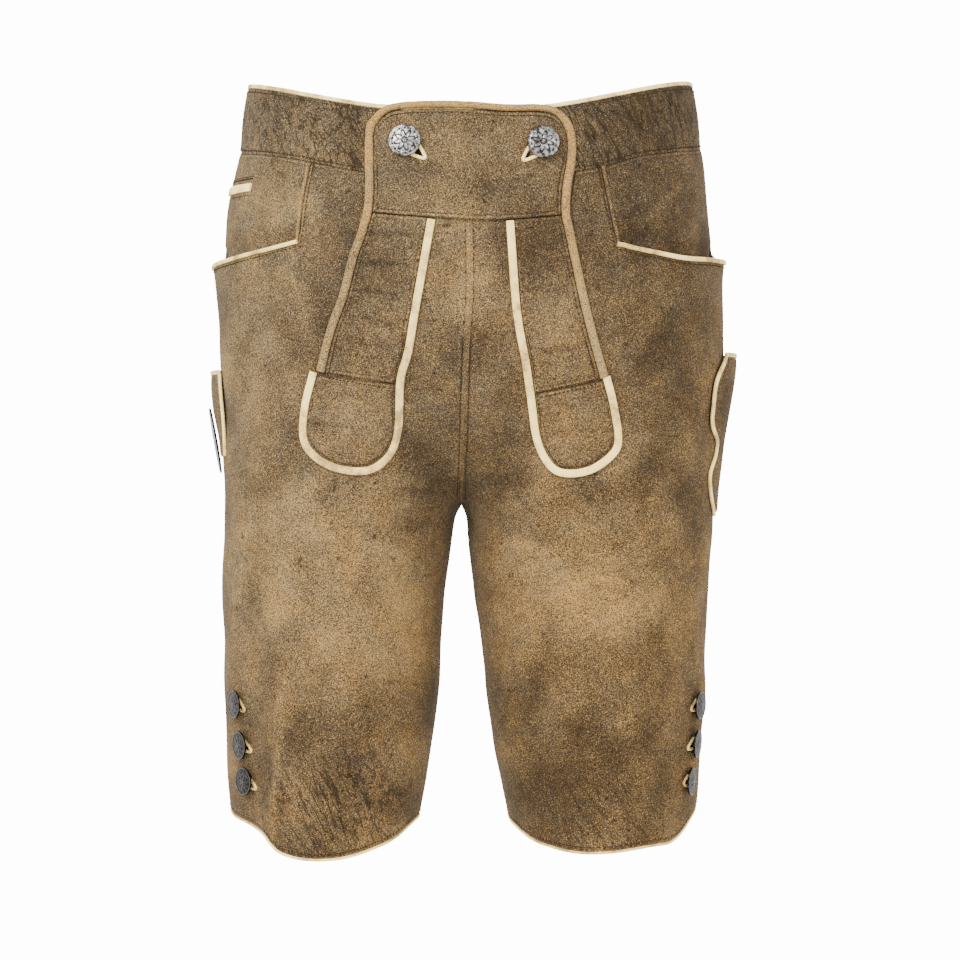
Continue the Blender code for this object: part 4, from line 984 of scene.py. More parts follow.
def warmth_at(points, offset=0.0):
    """How warm the brown is: greyer high on the right, where wax is old, warmer down the left."""
    warmth = BASE_WARMTH + 1.3 * points[..., 0] - 1.1 * (points[..., 2] + 0.2) + offset
    return np.clip(warmth, 0.0, 1.0)


def cord_warmth(points):
    """How warm the brown of a rubbed cord or ridge is: warm at the waist and grey further down."""
    return np.clip(BASE_WARMTH + 4.0 * (points[..., 2] - CORD_FADE_Z), 0.0, 1.0)


print(len(CLOUDS) - 1, "clouds of wear and wax")


# %% [markdown]
# ## From grids to leather
# A grid of points has no thickness, and real hide shows its cut edge. One builder closes two grids,
# the outside and the inside, into a wall. It works on whole arrays: it lists the cells that are
# leather, then adds an edge wall wherever a cell has no neighbour. The outside has one finish; the
# inside and the cut edge share the other. A second builder sweeps a section along a line.

# %% Mesh builders
SHARP_ANGLE = 50
FAR_FROM_EDGE = 1.0


def put_in_scene(name, points, faces, materials, indices=None, attributes=None):
    """Put arrays into a mesh object; faces is a list of arrays that all have 3 or 4 corners."""
    mesh = bpy.data.meshes.new(name)
    sizes = np.concatenate([np.full(len(part), part.shape[1]) for part in faces])
    corners = np.concatenate([part.reshape(-1) for part in faces]).astype(np.int32)
    mesh.vertices.add(len(points))
    mesh.vertices.foreach_set("co", np.ascontiguousarray(points, np.float32).reshape(-1))
    mesh.loops.add(len(corners))
    mesh.loops.foreach_set("vertex_index", corners)
    mesh.polygons.add(len(sizes))
    starts = np.concatenate([[0], np.cumsum(sizes)[:-1]]).astype(np.int32)
    mesh.polygons.foreach_set("loop_start", starts)
    if indices is not None:
        mesh.polygons.foreach_set("material_index", np.asarray(indices, np.int32))
    mesh.update(calc_edges=True)
    mesh.validate()
    mesh.shade_smooth()
    mesh.set_sharp_from_angle(angle=math.radians(SHARP_ANGLE))
    for material in materials:
        mesh.materials.append(material)
    for key, values in (attributes or {}).items():
        attribute = mesh.attributes.new(key, "FLOAT", "POINT")
        attribute.data.foreach_set("value", np.ascontiguousarray(values, np.float32).reshape(-1))
    thing = bpy.data.objects.new(name, mesh)
    bpy.context.scene.collection.objects.link(thing)
    return thing


def turn_out(points, faces):
    """Reverse every face if the closed shape's signed volume is below 0."""
    total = 0.0
    for part in faces:
        first = points[part[:, 0]]
        for k in range(1, part.shape[1] - 1):
            area = np.cross(points[part[:, k]], points[part[:, k + 1]])
            total += np.einsum("ij,ij->i", first, area).sum()
    return faces if total > 0 else [part[:, ::-1] for part in faces]


def wall(name, outer, inner, materials, edge, kept=None, tone=0.0, crinkle=0.05):
    """Close two grids into one wall of leather; edge is the distance to the nearest sewn edge."""
    rows, columns, _ = outer.shape
    tone = np.broadcast_to(tone, (2, rows, columns)).reshape(-1)
    if kept is None:
        kept = np.ones((rows - 1, columns - 1), bool)
    number = np.arange(rows * columns).reshape(rows, columns)
    corner = [number[:-1, :-1], number[:-1, 1:], number[1:, 1:], number[1:, :-1]]
    cells = np.stack([part[kept] for part in corner], 1)
    under = rows * columns
    padded = np.pad(kept, 1)
    beyond = [padded[:-2, 1:-1], padded[1:-1, 2:], padded[2:, 1:-1], padded[1:-1, :-2]]
    rims = []
    for k, there in enumerate(beyond):
        bare = kept & ~there
        one = corner[k][bare]
        two = corner[(k + 1) % 4][bare]
        rims.append(np.stack([two, one, one + under, two + under], 1))
    rims = np.concatenate(rims)
    points = np.concatenate([outer.reshape(-1, 3), inner.reshape(-1, 3)])
    faces = turn_out(points, [cells, cells[:, ::-1] + under, rims])
    indices = np.concatenate([np.zeros(len(cells)), np.ones(len(cells)), np.ones(len(rims))])
    used = np.zeros(len(points), bool)
    for part in faces:
        used[part.reshape(-1)] = True
    renumber = np.cumsum(used) - 1
    faces = [renumber[part] for part in faces]
    points = points[used]
    edge = np.concatenate([edge.reshape(-1), np.full(rows * columns, FAR_FROM_EDGE)])[used] * 1000
    looks = {
        "tone": tone_at(points, tone[used]),
        "warm": warmth_at(points),
        "edge": edge,
        "crinkle": np.clip(sum_bells(points, CRINKLES, crinkle), 0.0, 1.0),
    }
    return put_in_scene(name, points, faces, materials, indices, looks)


print("grids close into walls")


# %% Swept pieces
def ring_faces(count, spokes, closed=False):
    """Quads between rings in a row, joined end to end if closed, or else with a fan at each end."""
    number = np.arange(count * spokes).reshape(count, spokes)
    here = number if closed else number[:-1]
    following = np.roll(number, -1, 0) if closed else number[1:]
    corners = [here, np.roll(here, -1, 1), np.roll(following, -1, 1), following]
    quads = np.stack(corners, -1).reshape(-1, 4)
    if closed:
        return [quads]
    first, last = number[0], number[-1]
    start = np.stack([np.full(spokes, number.size), np.roll(first, -1), first], 1)
    end = np.stack([np.full(spokes, number.size + 1), last, np.roll(last, -1)], 1)
    return [quads, start, end]


def swept(
    name, centres, across, out, profile, finish, closed=False, tone=0.0, warmth=None, widths=1.0,
):
    """Carry a profile along a path: centre + across * a * width + out * b."""
    sizes = np.broadcast_to(widths, len(centres))[:, None, None]
    rings = centres[:, None] + across[:, None] * profile[None, :, :1] * sizes
    rings = rings + out[:, None] * profile[None, :, 1:]
    count, sides, _ = rings.shape
    points = rings.reshape(-1, 3)
    if not closed:
        points = np.vstack([points, centres[:1], centres[-1:]])
    faces = turn_out(points, ring_faces(count, sides, closed))
    # low is how near a point is to the section's base; the tone is lowered there and cream is
    # darkened there, as painted contact shadow where the piece meets the leather.
    up = profile[:, 1] - profile[:, 1].min()
    low = np.tile(1 - smooth(up / up.max() * 1.6), count)
    low = np.concatenate([low, np.zeros(len(points) - len(low))])
    looks = {
        "tone": tone_at(points, tone - 0.3 * low),
        "warm": warmth_at(points, tone) if warmth is None else warmth(points),
        "edge": np.full(len(points), EDGE_REACH),
        "low": low,
    }
    return put_in_scene(name, points, faces, (finish,), attributes=looks)


def round_profile(half, thick, sides=14, power=0.6):
    """A rounded bar: (cos, sin) raised to a power below 1 and scaled."""
    angle = np.linspace(0, 2 * np.pi, sides, endpoint=False)
    wide = np.sign(np.cos(angle)) * np.abs(np.cos(angle)) ** power * half
    high = np.sign(np.sin(angle)) * np.abs(np.sin(angle)) ** power * thick
    return np.stack([wide, high], 1)


def tape_profile(half, height, groove=0.12):
    """A flat folded tape on its base: a soft cushion with a faint channel beside each edge."""
    angle = np.linspace(0, np.pi, 15)
    top_x = np.cos(angle) * half
    channel = 1 - groove * np.exp(-((np.abs(top_x) / half - 0.55) / 0.12) ** 2)
    top_z = height * (np.sin(angle) ** 0.45) * channel
    return np.concatenate([np.stack([top_x, top_z], 1), [[-half * 0.4, 0.0], [half * 0.4, 0.0]]])


def plump_profile(half, height, power=0.75):
    """A cord's section that lies on its base: x = half cos a, z = height (sin a)^power."""
    angle = np.linspace(0, np.pi, 15)
    top = np.stack([np.cos(angle) * half, height * np.sin(angle) ** power], 1)
    return np.concatenate([top, [[-half * 0.4, 0.0], [half * 0.4, 0.0]]])


def dress(piece, slot, *nodes):
    """The calls every piece needs: its body to ride on and the nodes it stands for; slot is not
    used.
    """
    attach(piece, "root")
    for name in nodes:
        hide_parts(name)
    return piece


def edged(count, crowd=0.012):
    """Steps from 0 to 1 that crowd a little towards both ends: t - crowd * sin(2 pi t)."""
    t = np.linspace(0, 1, count)
    return t - crowd * np.sin(2 * np.pi * t)


def run_lengths(points, axis):
    """The length from each row's (or column's) first point to every other one."""
    steps = np.linalg.norm(np.diff(points, axis=axis), axis=-1)
    start = np.zeros_like(np.take(steps, [0], axis=axis))
    return np.concatenate([start, np.cumsum(steps, axis=axis)], axis=axis)


def border_distance(points):
    """The distance from each point of a grid to the grid's nearest border."""
    nearest = np.full(points.shape[:2], FAR_FROM_EDGE)
    for axis in (0, 1):
        length = run_lengths(points, axis)
        far = np.take(length, [-1], axis=axis) - length
        nearest = np.minimum(nearest, np.minimum(length, far))
    return nearest


print("sections sweep along lines")


# %% [markdown]
# ## The leg panels
# The front panel is the largest piece. Its outer part stops at the slanted pocket mouth, its tongue
# runs up between pocket and flap to the waistband, and the rest ends under the flap. Three blocks
# of one grid share their edge points, so the panel stays one sheet. The seams dip: leather is
# rolled down near every sewn edge.

# %% Front panels
MOUTH_HALF = 0.0017
EDGE_HALF = 0.0015
HEM_HALF = 0.0010
SKIN = (hide_outside, hide_inside)


def spread(a, b, steps):
    """Places from a to b, for whole arrays a and b, at the given steps from 0 to 1."""
    return a[:, None] + (b - a)[:, None] * steps[None]


def seam_dip(distance, depth=0.0008, reach=0.0022):
    """How far leather sinks at a sewn edge: -depth * exp(-(distance / reach)^1.4)."""
    return -depth * np.exp(-(np.maximum(distance, 0) / reach) ** 1.4)


def hide_wall(
    name, side, share, z, edge=None, push=0.0, swell=0.0, with_gape=True, kept=None, crinkle=0.05,
):
    """Leather on the body: it sinks at its sewn edge, or else its border; its outside swells."""
    edge = border_distance(body(side, share, z)) if edge is None else edge
    inside = push + seam_dip(edge)
    outer = hide(side, share, z, inside + swell, with_gape)
    inner = hide(side, share, z, inside - LEATHER, with_gape)
    # Wrinkle tone: painted shade in troughs and painted highlight on ridges.
    shade = crease_shading(wrinkles(side, share, z))
    return wall(name, outer, inner, SKIN, edge, kept, shade, crinkle)


def front_panel(side):
    """A grid in share and height, mapped so that its rows and columns meet the seams."""
    pocket, tongue, centre = edged(56), edged(26), edged(56)
    leg_rows, upper_rows, tongue_rows = edged(112), edged(96), edged(22)
    columns = len(pocket) + len(tongue) + len(centre) - 2
    p, q = len(pocket) - 1, len(pocket) + len(tongue) - 2
    total = len(leg_rows) + len(upper_rows) + len(tongue_rows) - 2
    first_upper = len(leg_rows) + len(upper_rows) - 2
    trim = 2 * MOUTH_HALF - EDGE_HALF + GAP
    grid_z = np.repeat(np.linspace(HEM[1][1], WAIST_SEAM[-1][1], total)[:, None], columns, 1)
    for _ in range(3):
        hip = column(HIP_SEAM, side, grid_z[:, p])
        slit = column(FLAP_SLIT, side, grid_z[:, q])
        share = np.concatenate([
            spread(np.full(total, SEAM_SHARE), hip, pocket)[:, :-1],
            spread(hip, slit, tongue)[:, :-1],
            spread(slit, np.full(total, 1 - SEAM_SHARE), centre),
        ], 1)
        hem = level(side, share[0], HEM, HEM_HALF)
        mouth = level(side, share[first_upper], POCKET_MOUTH, -trim)
        mix = np.clip((np.arange(columns) - p) / (q - p), 0, 1)
        middle = mouth + (FLAP_JOIN_Z - mouth) * mix
        top = level(side, share[-1], WAIST_SEAM)
        leg = hem + (CROTCH_Z - hem) * leg_rows[:, None]
        upper = CROTCH_Z + (middle - CROTCH_Z) * upper_rows[1:, None] ** 1.25
        upright = middle + (top - middle) * tongue_rows[1:, None]
        grid_z = np.concatenate([leg, upper, upright])
    kept = np.ones((total - 1, columns - 1), bool)
    kept[first_upper:, :p] = False
    kept[first_upper:, q:] = False
    along = run_lengths(body(side, share, grid_z), 1)
    upper_part = np.arange(total)[:, None] >= first_upper
    beside_seams = np.minimum(along, along[:, -1:] - along)
    beside_tongue = np.minimum(np.abs(along - along[:, [p]]), np.abs(along[:, [q]] - along))
    aside = np.where(upper_part, beside_tongue, beside_seams)
    in_tongue = (np.arange(columns) >= p) & (np.arange(columns) <= q)
    above = np.where(in_tongue, top, middle) - grid_z
    corner = np.hypot(along - along[:, [p]], grid_z - middle[p])
    edge = np.minimum(np.minimum(aside, above), np.minimum(corner, grid_z - hem))
    piece = hide_wall("leg_front_" + side, side, share, grid_z, edge, kept=kept)
    return dress(piece, "leather", "front_" + side)


leg_fronts = {side: front_panel(side) for side in SIDES}
print({side: len(piece.data.polygons) for side, piece in leg_fronts.items()}, "faces")


# %% [markdown]
# The back panel is plainer: one piece from side seam to centre back and inseam. Its rows are packed
# closer near the crotch, where the seat turns under.

# %% Back panels
def back_panel(side):
    """One grid: rows from hem to crotch, then from crotch to waist."""
    steps = edged(124)
    share = -(SEAM_SHARE + (1 - 2 * SEAM_SHARE) * steps)
    hem = level(side, share, HEM, HEM_HALF)
    top = level(side, share, WAIST_SEAM)
    leg = hem + (CROTCH_Z - hem) * edged(100)[:, None]
    upper = CROTCH_Z + (top - CROTCH_Z) * edged(110)[1:, None] ** 1.3
    z = np.concatenate([leg, upper])
    share = np.broadcast_to(share, z.shape)
    piece = hide_wall("leg_back_" + side, side, share, z)
    return dress(piece, "leather", "back_" + side)


leg_backs = {side: back_panel(side) for side in SIDES}
print({side: len(piece.data.polygons) for side, piece in leg_backs.items()}, "faces")


# %% [markdown]
# ## Waistband and hips
# The waistband is a doubled band, stiff but bent all day, so it is the most crackled piece. The hip
# piece lies level with the tongue and dives behind the pocket mouth, where it is the pocket's back
# wall.

# %% Waistband halves
BAND_SWELL = 0.0006
BAND_CRINKLE = 0.9


def waistband(side):
    """A band between waist seam and top edge, thicker by swell * sin(pi * height share)^0.7."""
    share = round_shares(SEAM_SHARE - 1, 1 - SEAM_SHARE, 150, 170)
    foot = level(side, share, WAIST_SEAM)
    top = level(side, share, TOP_EDGE, -EDGE_HALF)
    steps = edged(34)[:, None]
    z = foot + (top - foot) * steps
    share = np.broadcast_to(share, z.shape)
    swell = BAND_SWELL * np.sin(np.pi * np.clip(steps, 0, 1)) ** 0.7
    name = "waistband_half_" + side
    piece = hide_wall(name, side, share, z, swell=swell, with_gape=False, crinkle=BAND_CRINKLE)
    return dress(piece, "leather", "waistband_" + side)


HIP_INSET = 0.0026
HIP_INSET_START = 0.016
HIP_INSET_RUN = 0.010
HIP_HIDDEN = 0.030


def hip_piece(side):
    """A grid from behind the pocket mouth up to the waist seam, pushed in below the mouth."""
    columns, rows = edged(60), edged(64)
    z = np.zeros((len(rows), len(columns)))
    for _ in range(3):
        hip = column(HIP_SEAM, side, z[:, -1])
        start = np.full(len(rows), SEAM_SHARE)
        share = spread(start, hip, columns)
        foot = level(side, share[0], POCKET_MOUTH, -HIP_HIDDEN)
        top = level(side, share[-1], WAIST_SEAM)
        z = foot + (top - foot) * rows[:, None]
    below = column(POCKET_MOUTH, side, share) + HIP_INSET_START - z
    push = -HIP_INSET * smooth(below / HIP_INSET_RUN)
    piece = hide_wall("hip_piece_" + side, side, share, z, push=push, with_gape=False)
    return dress(piece, "leather", "hip_" + side)


bands = {side: waistband(side) for side in SIDES}
hips = {side: hip_piece(side) for side in SIDES}
for side in SIDES:
    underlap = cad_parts["underlap_" + side]
    underlap.data.materials.clear()
    underlap.data.materials.append(hide_inside)
print("waistband and hip pieces made")


# %% [markdown]
# ## The fall front
# The flap and its two strips are cut as one shape on paper, then laid over the trousers and sewn
# down along the strips. In the model they are flat patches between four edges, bent over the body
# by reading the body's surface at each place. Being on the same surface, they follow every fold
# under them.

# %% Fall front lines
FLAP_TRIM = (
    (-0.0991, -0.1847), (-0.0913, -0.1552), (-0.0829, -0.1325),
    (-0.0760, -0.1057), (-0.0698, -0.0878), (-0.0655, -0.0670),
    (-0.0652, -0.0217), (-0.0615, -0.0114), (-0.0546, -0.0048),
    (-0.0455, -0.0020), (-0.0236, -0.0009), (0.0012, -0.0013),
    (0.0280, -0.0033), (0.0522, -0.0032), (0.0630, -0.0060),
    (0.0700, -0.0128), (0.0735, -0.0230), (0.0735, -0.0392),
    (0.0706, -0.0566), (0.0696, -0.0754), (0.0721, -0.0885),
    (0.0775, -0.1150), (0.0866, -0.1546), (0.0964, -0.1889),
)
STRIP_TRIM = {
    "right": (
        (-0.0226, -0.0811), (-0.0335, -0.1426), (-0.0383, -0.1707),
        (-0.0439, -0.1912), (-0.0460, -0.2240), (-0.0530, -0.2427),
        (-0.0675, -0.2531), (-0.0882, -0.2517), (-0.1042, -0.2427),
        (-0.1112, -0.2302), (-0.1097, -0.2080), (-0.1040, -0.1853),
    ),
    "left": (
        (0.0314, -0.0820), (0.0359, -0.1426), (0.0424, -0.1802),
        (0.0460, -0.2034), (0.0503, -0.2302), (0.0590, -0.2486),
        (0.0697, -0.2551), (0.0870, -0.2530), (0.1015, -0.2427),
        (0.1062, -0.2316), (0.1028, -0.2081), (0.0978, -0.1885),
    ),
}
STRIP_JOIN = {"right": (-0.1935, -0.1870), "left": (-0.2000, -0.1910)}
FLAP_SEAM = (
    (-0.0622, -0.0756), (-0.0408, -0.0779), (-0.0160, -0.0797),
    (0.0074, -0.0812), (0.0314, -0.0806), (0.0521, -0.0790),
    (0.0673, -0.0774),
)
FLAP_TRIM_HALF = 0.0031
FLAP_TRIM_HEIGHT = 0.0031
STRIP_TRIM_HALF = 0.0028
STRIP_TRIM_HEIGHT = 0.0024
FLAP_CORNER_Z = -0.024
STRIP_BEND_Z = -0.226
LINE_COUNT = 480
SEAM_COUNT = 80


def cut_at_height(line, z, keep_above):
    """The stretch of a line above or below a height, with its end put exactly there."""
    above = line[:, 1] > z
    keep = above if keep_above else ~above
    kept = line[keep]
    first = int(np.argmax(keep))
    if first > 0:
        a, b = line[first - 1], line[first]
        kept = np.vstack([a + (b - a) * (z - a[1]) / (b[1] - a[1]), kept])
    last = len(line) - 1 - int(np.argmax(keep[::-1]))
    if last < len(line) - 1:
        a, b = line[last], line[last + 1]
        kept = np.vstack([kept, a + (b - a) * (z - a[1]) / (b[1] - a[1])])
    return kept


def flap_seam_z(x):
    """The height of the flap's lower seam at x."""
    seam = trace(FLAP_SEAM, SEAM_COUNT)
    return np.interp(x, seam[:, 0], seam[:, 1])


def under_seam(line):
    """The stretch of a line below the flap's lower seam."""
    return line[line[:, 1] < flap_seam_z(line[:, 0]) - 2 * GAP]


STRIP_CREASES = (
    CREASE_COLUMNS,
    (-0.070, -0.0905, -0.034, -0.0925, 0.0018, -0.0012, 0.0010),
    (-0.074, -0.1115, -0.038, -0.1135, 0.0018, -0.0011, 0.0010),
    (-0.076, -0.1300, -0.044, -0.1330, 0.0020, -0.0008, 0.0012),
    (-0.078, -0.1470, -0.046, -0.1560, 0.0022, -0.0009, 0.0015),
    (-0.082, -0.1630, -0.046, -0.1680, 0.0024, -0.0008, -0.0015),
    (-0.108, -0.2205, -0.084, -0.2235, 0.0020, -0.0011, 0.0006),
    (-0.088, -0.2000, -0.060, -0.2060, 0.0030, -0.0006, 0.0015),
    (0.040, -0.1280, 0.074, -0.1350, 0.0024, -0.0008, 0.0015),
    (0.050, -0.1710, 0.084, -0.1670, 0.0024, -0.0009, -0.0015),
    (0.060, -0.2290, 0.090, -0.2240, 0.0028, -0.0006, 0.0012),
    (-0.046, -0.0460, -0.010, -0.0520, 0.0040, -0.0005, 0.0020),
    (0.006, -0.0580, 0.046, -0.0540, 0.0040, -0.0005, -0.0020),
)


PATCH_DIP = 0.0007
PATCH_SWELL = 0.0005
PATCH_SWELL_REACH = 0.006
PATCH_CRINKLE = 0.12


def patch(name, places, tone=0.0, fold=0.0):
    """Leather that lies on the front, from a grid of places; it rolls down at its borders."""
    edge = border_distance(on_front(places, 0.0))
    bend = np.zeros(places.shape[:2])
    for crease in named_rows(STRIP_CREASES):
        bend = bend + crease_depth(places, crease)
    plump = PATCH_SWELL * smooth(edge / PATCH_SWELL_REACH) + fold
    lift = LAY + seam_dip(edge, PATCH_DIP) + bend + plump
    outer = on_front(places, lift + LEATHER)
    inner = on_front(places, np.maximum(lift, GAP))
    shade = tone + crease_shading(bend)
    return wall(name, outer, inner, SKIN, edge, tone=shade, crinkle=PATCH_CRINKLE)


# %% Flap
FOLD_HEIGHT = 0.0011
FOLD_ROWS = 2.2


def flap():
    """A Coons patch: its top edge runs round both upper corners, its foot is the lower seam."""
    trim_edge = beside(trace(FLAP_TRIM, LINE_COUNT), -FLAP_TRIM_HALF - GAP)
    seam = trace(FLAP_SEAM, SEAM_COUNT)
    upper = cut_at_height(trim_edge, FLAP_CORNER_Z, keep_above=True)
    middle = len(trim_edge) // 2
    sides = []
    for half, foot in ((trim_edge[:middle], seam[0]), (trim_edge[middle:][::-1], seam[-1])):
        sides.append(half[(half[:, 1] > foot[1]) & (half[:, 1] < FLAP_CORNER_Z)])
    start, end = sides
    across, up = 112, 48
    foot = np.vstack([[start[0][0], seam[0][1]], seam[4:-4], [end[0][0], seam[-1][1]]])
    foot = resample(foot, across)
    start = resample(np.vstack([foot[0], start[1:], upper[0]]), up)
    end = resample(np.vstack([foot[-1], end[1:], upper[-1]]), up)
    places = coons(foot, resample(upper, across), start, end)
    fold = FOLD_HEIGHT * np.exp(-(np.arange(up)[:, None] / FOLD_ROWS) ** 2)
    return dress(patch("flap_panel", places, fold=fold), "leather", "flap")


flap_panel = flap()
print("flap faces:", len(flap_panel.data.polygons))


# %% Strips and their rounded ends
INNER_RUN = 300
LOW_START = 40
LOW_TONE = 0.03


def strip(side):
    """The upper run between both trims, and the rounded end below the cross seam."""
    sign = SIDES[side]
    outer_line = trace(FLAP_TRIM, LINE_COUNT)
    half = LINE_COUNT // 2
    outer_line = outer_line[:half] if side == "right" else outer_line[half:][::-1]
    inner_line = trace(STRIP_TRIM[side], LINE_COUNT)
    outer_edge = beside(outer_line, sign * (FLAP_TRIM_HALF + GAP))
    inner_edge = beside(inner_line, sign * (STRIP_TRIM_HALF + GAP))
    join_inner, join_outer = STRIP_JOIN[side]
    outer_run = under_seam(outer_edge[outer_edge[:, 1] > join_outer + GAP])
    descent = inner_edge[:INNER_RUN]
    inner_run = under_seam(descent[descent[:, 1] > join_inner + GAP])[::-1]
    top_outer = outer_run[-1]
    top_inner = inner_run[-1]
    rows, cells = 84, 30
    outer_run = resample(outer_run, rows)
    inner_run = resample(inner_run, rows)
    foot = resample(np.vstack([outer_run[0], inner_run[0]]), cells)
    top_x = np.linspace(top_outer[0], top_inner[0], cells)
    top = np.stack([top_x, flap_seam_z(top_x) - 2 * GAP], 1)
    top[0] = top_outer
    top[-1] = top_inner
    upper = patch("strip_upper_" + side, coons(foot, top, outer_run, inner_run))
    dress(upper, "leather", "strip_" + side)

    low = cut_at_height(inner_edge[LOW_START:], STRIP_BEND_Z, keep_above=False)[::-1]
    inner_side = descent[(descent[:, 1] < join_inner - GAP) & (descent[:, 1] > STRIP_BEND_Z)][::-1]
    ascent = inner_edge[INNER_RUN:]
    outer_side = ascent[(ascent[:, 1] < join_outer - GAP) & (ascent[:, 1] > STRIP_BEND_Z)]
    up, across = 30, 60
    outer_side = resample(np.vstack([low[0], outer_side]), up)
    inner_side = resample(np.vstack([low[-1], inner_side]), up)
    top = resample(np.vstack([outer_side[-1], inner_side[-1]]), across)
    places = coons(resample(low, across), top, outer_side, inner_side)
    rounded = patch("strip_low_" + side, places, LOW_TONE)
    dress(rounded, "leather", "strip_end_" + side)
    return upper, rounded


strips = {side: strip(side) for side in SIDES}
print("strip pieces made")


# %% [markdown]
# ## Piping
# The brown piping is a strip of the same hide folded round a cord, so it is plump. The cream piping
# is softer hide folded flat. Both are one section swept along a line; where the line turns, the
# section turns with it.

# %% Piping on the front
CORD_TONE = 0.56
CORD_COUNT = 330
CORD_SLIM = 0.22
CORD_SLIM_Z = -0.016
CORD_SLIM_RUN = 0.012
TAPE_COUNT = 200
PIPING_REST = LAY * 0.6
LOOK_UP = 0.002


def front_piping(name, line, profile, finish, **looks):
    """Sweep a section along a flat line over the front; its base lies at the overlay's height."""
    low = on_front(line, PIPING_REST)
    out = unit(on_front(line, PIPING_REST + LOOK_UP) - low)
    return swept(name, low, sideways(low, out), out, profile, finish, **looks)


cord_line = trace(FLAP_TRIM, CORD_COUNT)
cord_widths = 1.0 - CORD_SLIM * smooth((cord_line[:, 1] - CORD_SLIM_Z) / CORD_SLIM_RUN)
flap_cord = front_piping(
    "flap_cord", cord_line, plump_profile(FLAP_TRIM_HALF, FLAP_TRIM_HEIGHT), trim_brown,
    tone=CORD_TONE, warmth=cord_warmth, widths=cord_widths,
)
dress(flap_cord, "leather_trim", "flap_piping")
strip_section = tape_profile(STRIP_TRIM_HALF, STRIP_TRIM_HEIGHT)
for side in SIDES:
    tape_line = trace(STRIP_TRIM[side], TAPE_COUNT)
    tape = front_piping("strip_tape_" + side, tape_line, strip_section, cream)
    dress(tape, "cream_trim", "strip_piping_" + side)
print("front piping made")

# %% Felled centre seams
FELL_TONE = 0.08
FELL_SECTION = tape_profile(half=0.0023, height=0.0014, groove=0.25)
FELL_SUNK = 0.0010
FELL_TOP_Z = -0.079
HIP_RIDGE_HIGHLIGHT = 0.24
HIP_RIDGE_SECTION = tape_profile(half=0.0012, height=0.0018, groove=0.10)
HIP_RIDGE_Z = (-0.0950, -0.0425)
HIP_RIDGE_ASIDE = 0.007


def felled_seam(name, share, z):
    """The lapped edge over the centre seam: a low flat band midway between both halves."""
    pair = [hide(side, share, z, LAY * 0.2) for side in SIDES]
    middle = (pair[0] + pair[1]) / 2
    out = unit(sum(normal(side, share, z) for side in SIDES))
    across = sideways(middle, out)
    low = middle - out * FELL_SUNK
    band = swept(name, low, across, out, FELL_SECTION, hide_outside, tone=FELL_TONE)
    return dress(band, "leather")


seam_z = np.linspace(FELL_TOP_Z, CROTCH_Z + 0.001, 160)
felled_seam("felled_front", np.full(160, 1 - SEAM_SHARE), seam_z)
seam_z = np.linspace(WAIST_SEAM[1][1] + 0.002, CROTCH_Z + 0.001, 180)
felled_seam("felled_seat", np.full(180, SEAM_SHARE - 1), seam_z)


def hip_ridge(side):
    """The lapped edge on the hip's side of its seam, from pocket mouth to waist seam."""
    z = np.linspace(*HIP_RIDGE_Z, 60)
    share = column(HIP_SEAM, side, z) - HIP_RIDGE_ASIDE
    low = hide(side, share, z, with_gape=False)
    out = normal(side, share, z)
    across = sideways(low, out)
    # The ridge's paler tone is a painted highlight along its crest.
    ridge = swept(
        "hip_ridge_" + side, low - out * FELL_SUNK, across, out, HIP_RIDGE_SECTION,
        hide_outside, tone=HIP_RIDGE_HIGHLIGHT, warmth=cord_warmth,
    )
    return dress(ridge, "leather")


for side in SIDES:
    hip_ridge(side)
print("centre and hip seams felled")

# %% Piping round the edges
EDGE_THICK = 0.0010
HEM_THICK = 0.0010
MOUTH_THICK = 0.0013


def edge_piping(
    name, side, share, z, half, thick, lift=-LEATHER / 2, with_gape=False, closed=False,
):
    """A rounded bar along a round edge of the body."""
    centres = hide(side, share, z, lift, with_gape)
    out = normal(side, share, z)
    across = sideways(centres, out, closed)
    return swept(name + side, centres, across, out, round_profile(half, thick), cream, closed)


def waist_piping(side):
    """Along the top edge from centre back to centre front."""
    share = round_shares(SEAM_SHARE - 1, 1 - SEAM_SHARE, 130, 140)
    z = level(side, share, TOP_EDGE, -EDGE_HALF)
    piece = edge_piping("waist_edge_", side, share, z, EDGE_HALF, EDGE_THICK)
    return dress(piece, "cream_trim", "waist_piping_" + side)


def hem_piping(side):
    """Round the hem, closed."""
    share = round_shares(-1, 1, 130, 150)[:-1]
    z = level(side, share, HEM, HEM_HALF)
    piece = edge_piping(
        "hem_edge_", side, share, z, HEM_HALF, HEM_THICK, with_gape=True, closed=True,
    )
    return dress(piece, "cream_trim", "hem_piping_" + side)


MOUTH_SHARES = {"right": 0.82, "left": 0.95}
MOUTH_LOWER = 0.0009
MOUTH_END_Z = -0.098


def mouth_piping(side):
    """Along the pocket mouth; it follows the gape of the mouth's own edge."""
    end = float(column(HIP_SEAM, side, MOUTH_END_Z)) - 5 * SEAM_SHARE
    share = np.linspace(4 * SEAM_SHARE, end, 110)
    half = MOUTH_HALF * MOUTH_SHARES[side]
    z = level(side, share, POCKET_MOUTH, EDGE_HALF - 2 * MOUTH_HALF + half - MOUTH_LOWER)
    lift = MOUTH_THICK - LEATHER / 2 - 2 * GAP
    open_by = gape(side, share, level(side, share, POCKET_MOUTH, -MOUTH_HALF))
    piece = edge_piping("mouth_edge_", side, share, z, half, MOUTH_THICK, open_by + lift)
    return dress(piece, "cream_trim", "pocket_piping_" + side)


edge_pipings = [make(side) for side in SIDES for make in (waist_piping, hem_piping, mouth_piping)]
print(len(edge_pipings), "edge pipings made")


# %% [markdown]
# ## Side pockets
# A knife pocket on the right and a flap pocket on the left stand a little off the leg, so light
# falls behind them. Their front edges and tops have a folded cream tape.

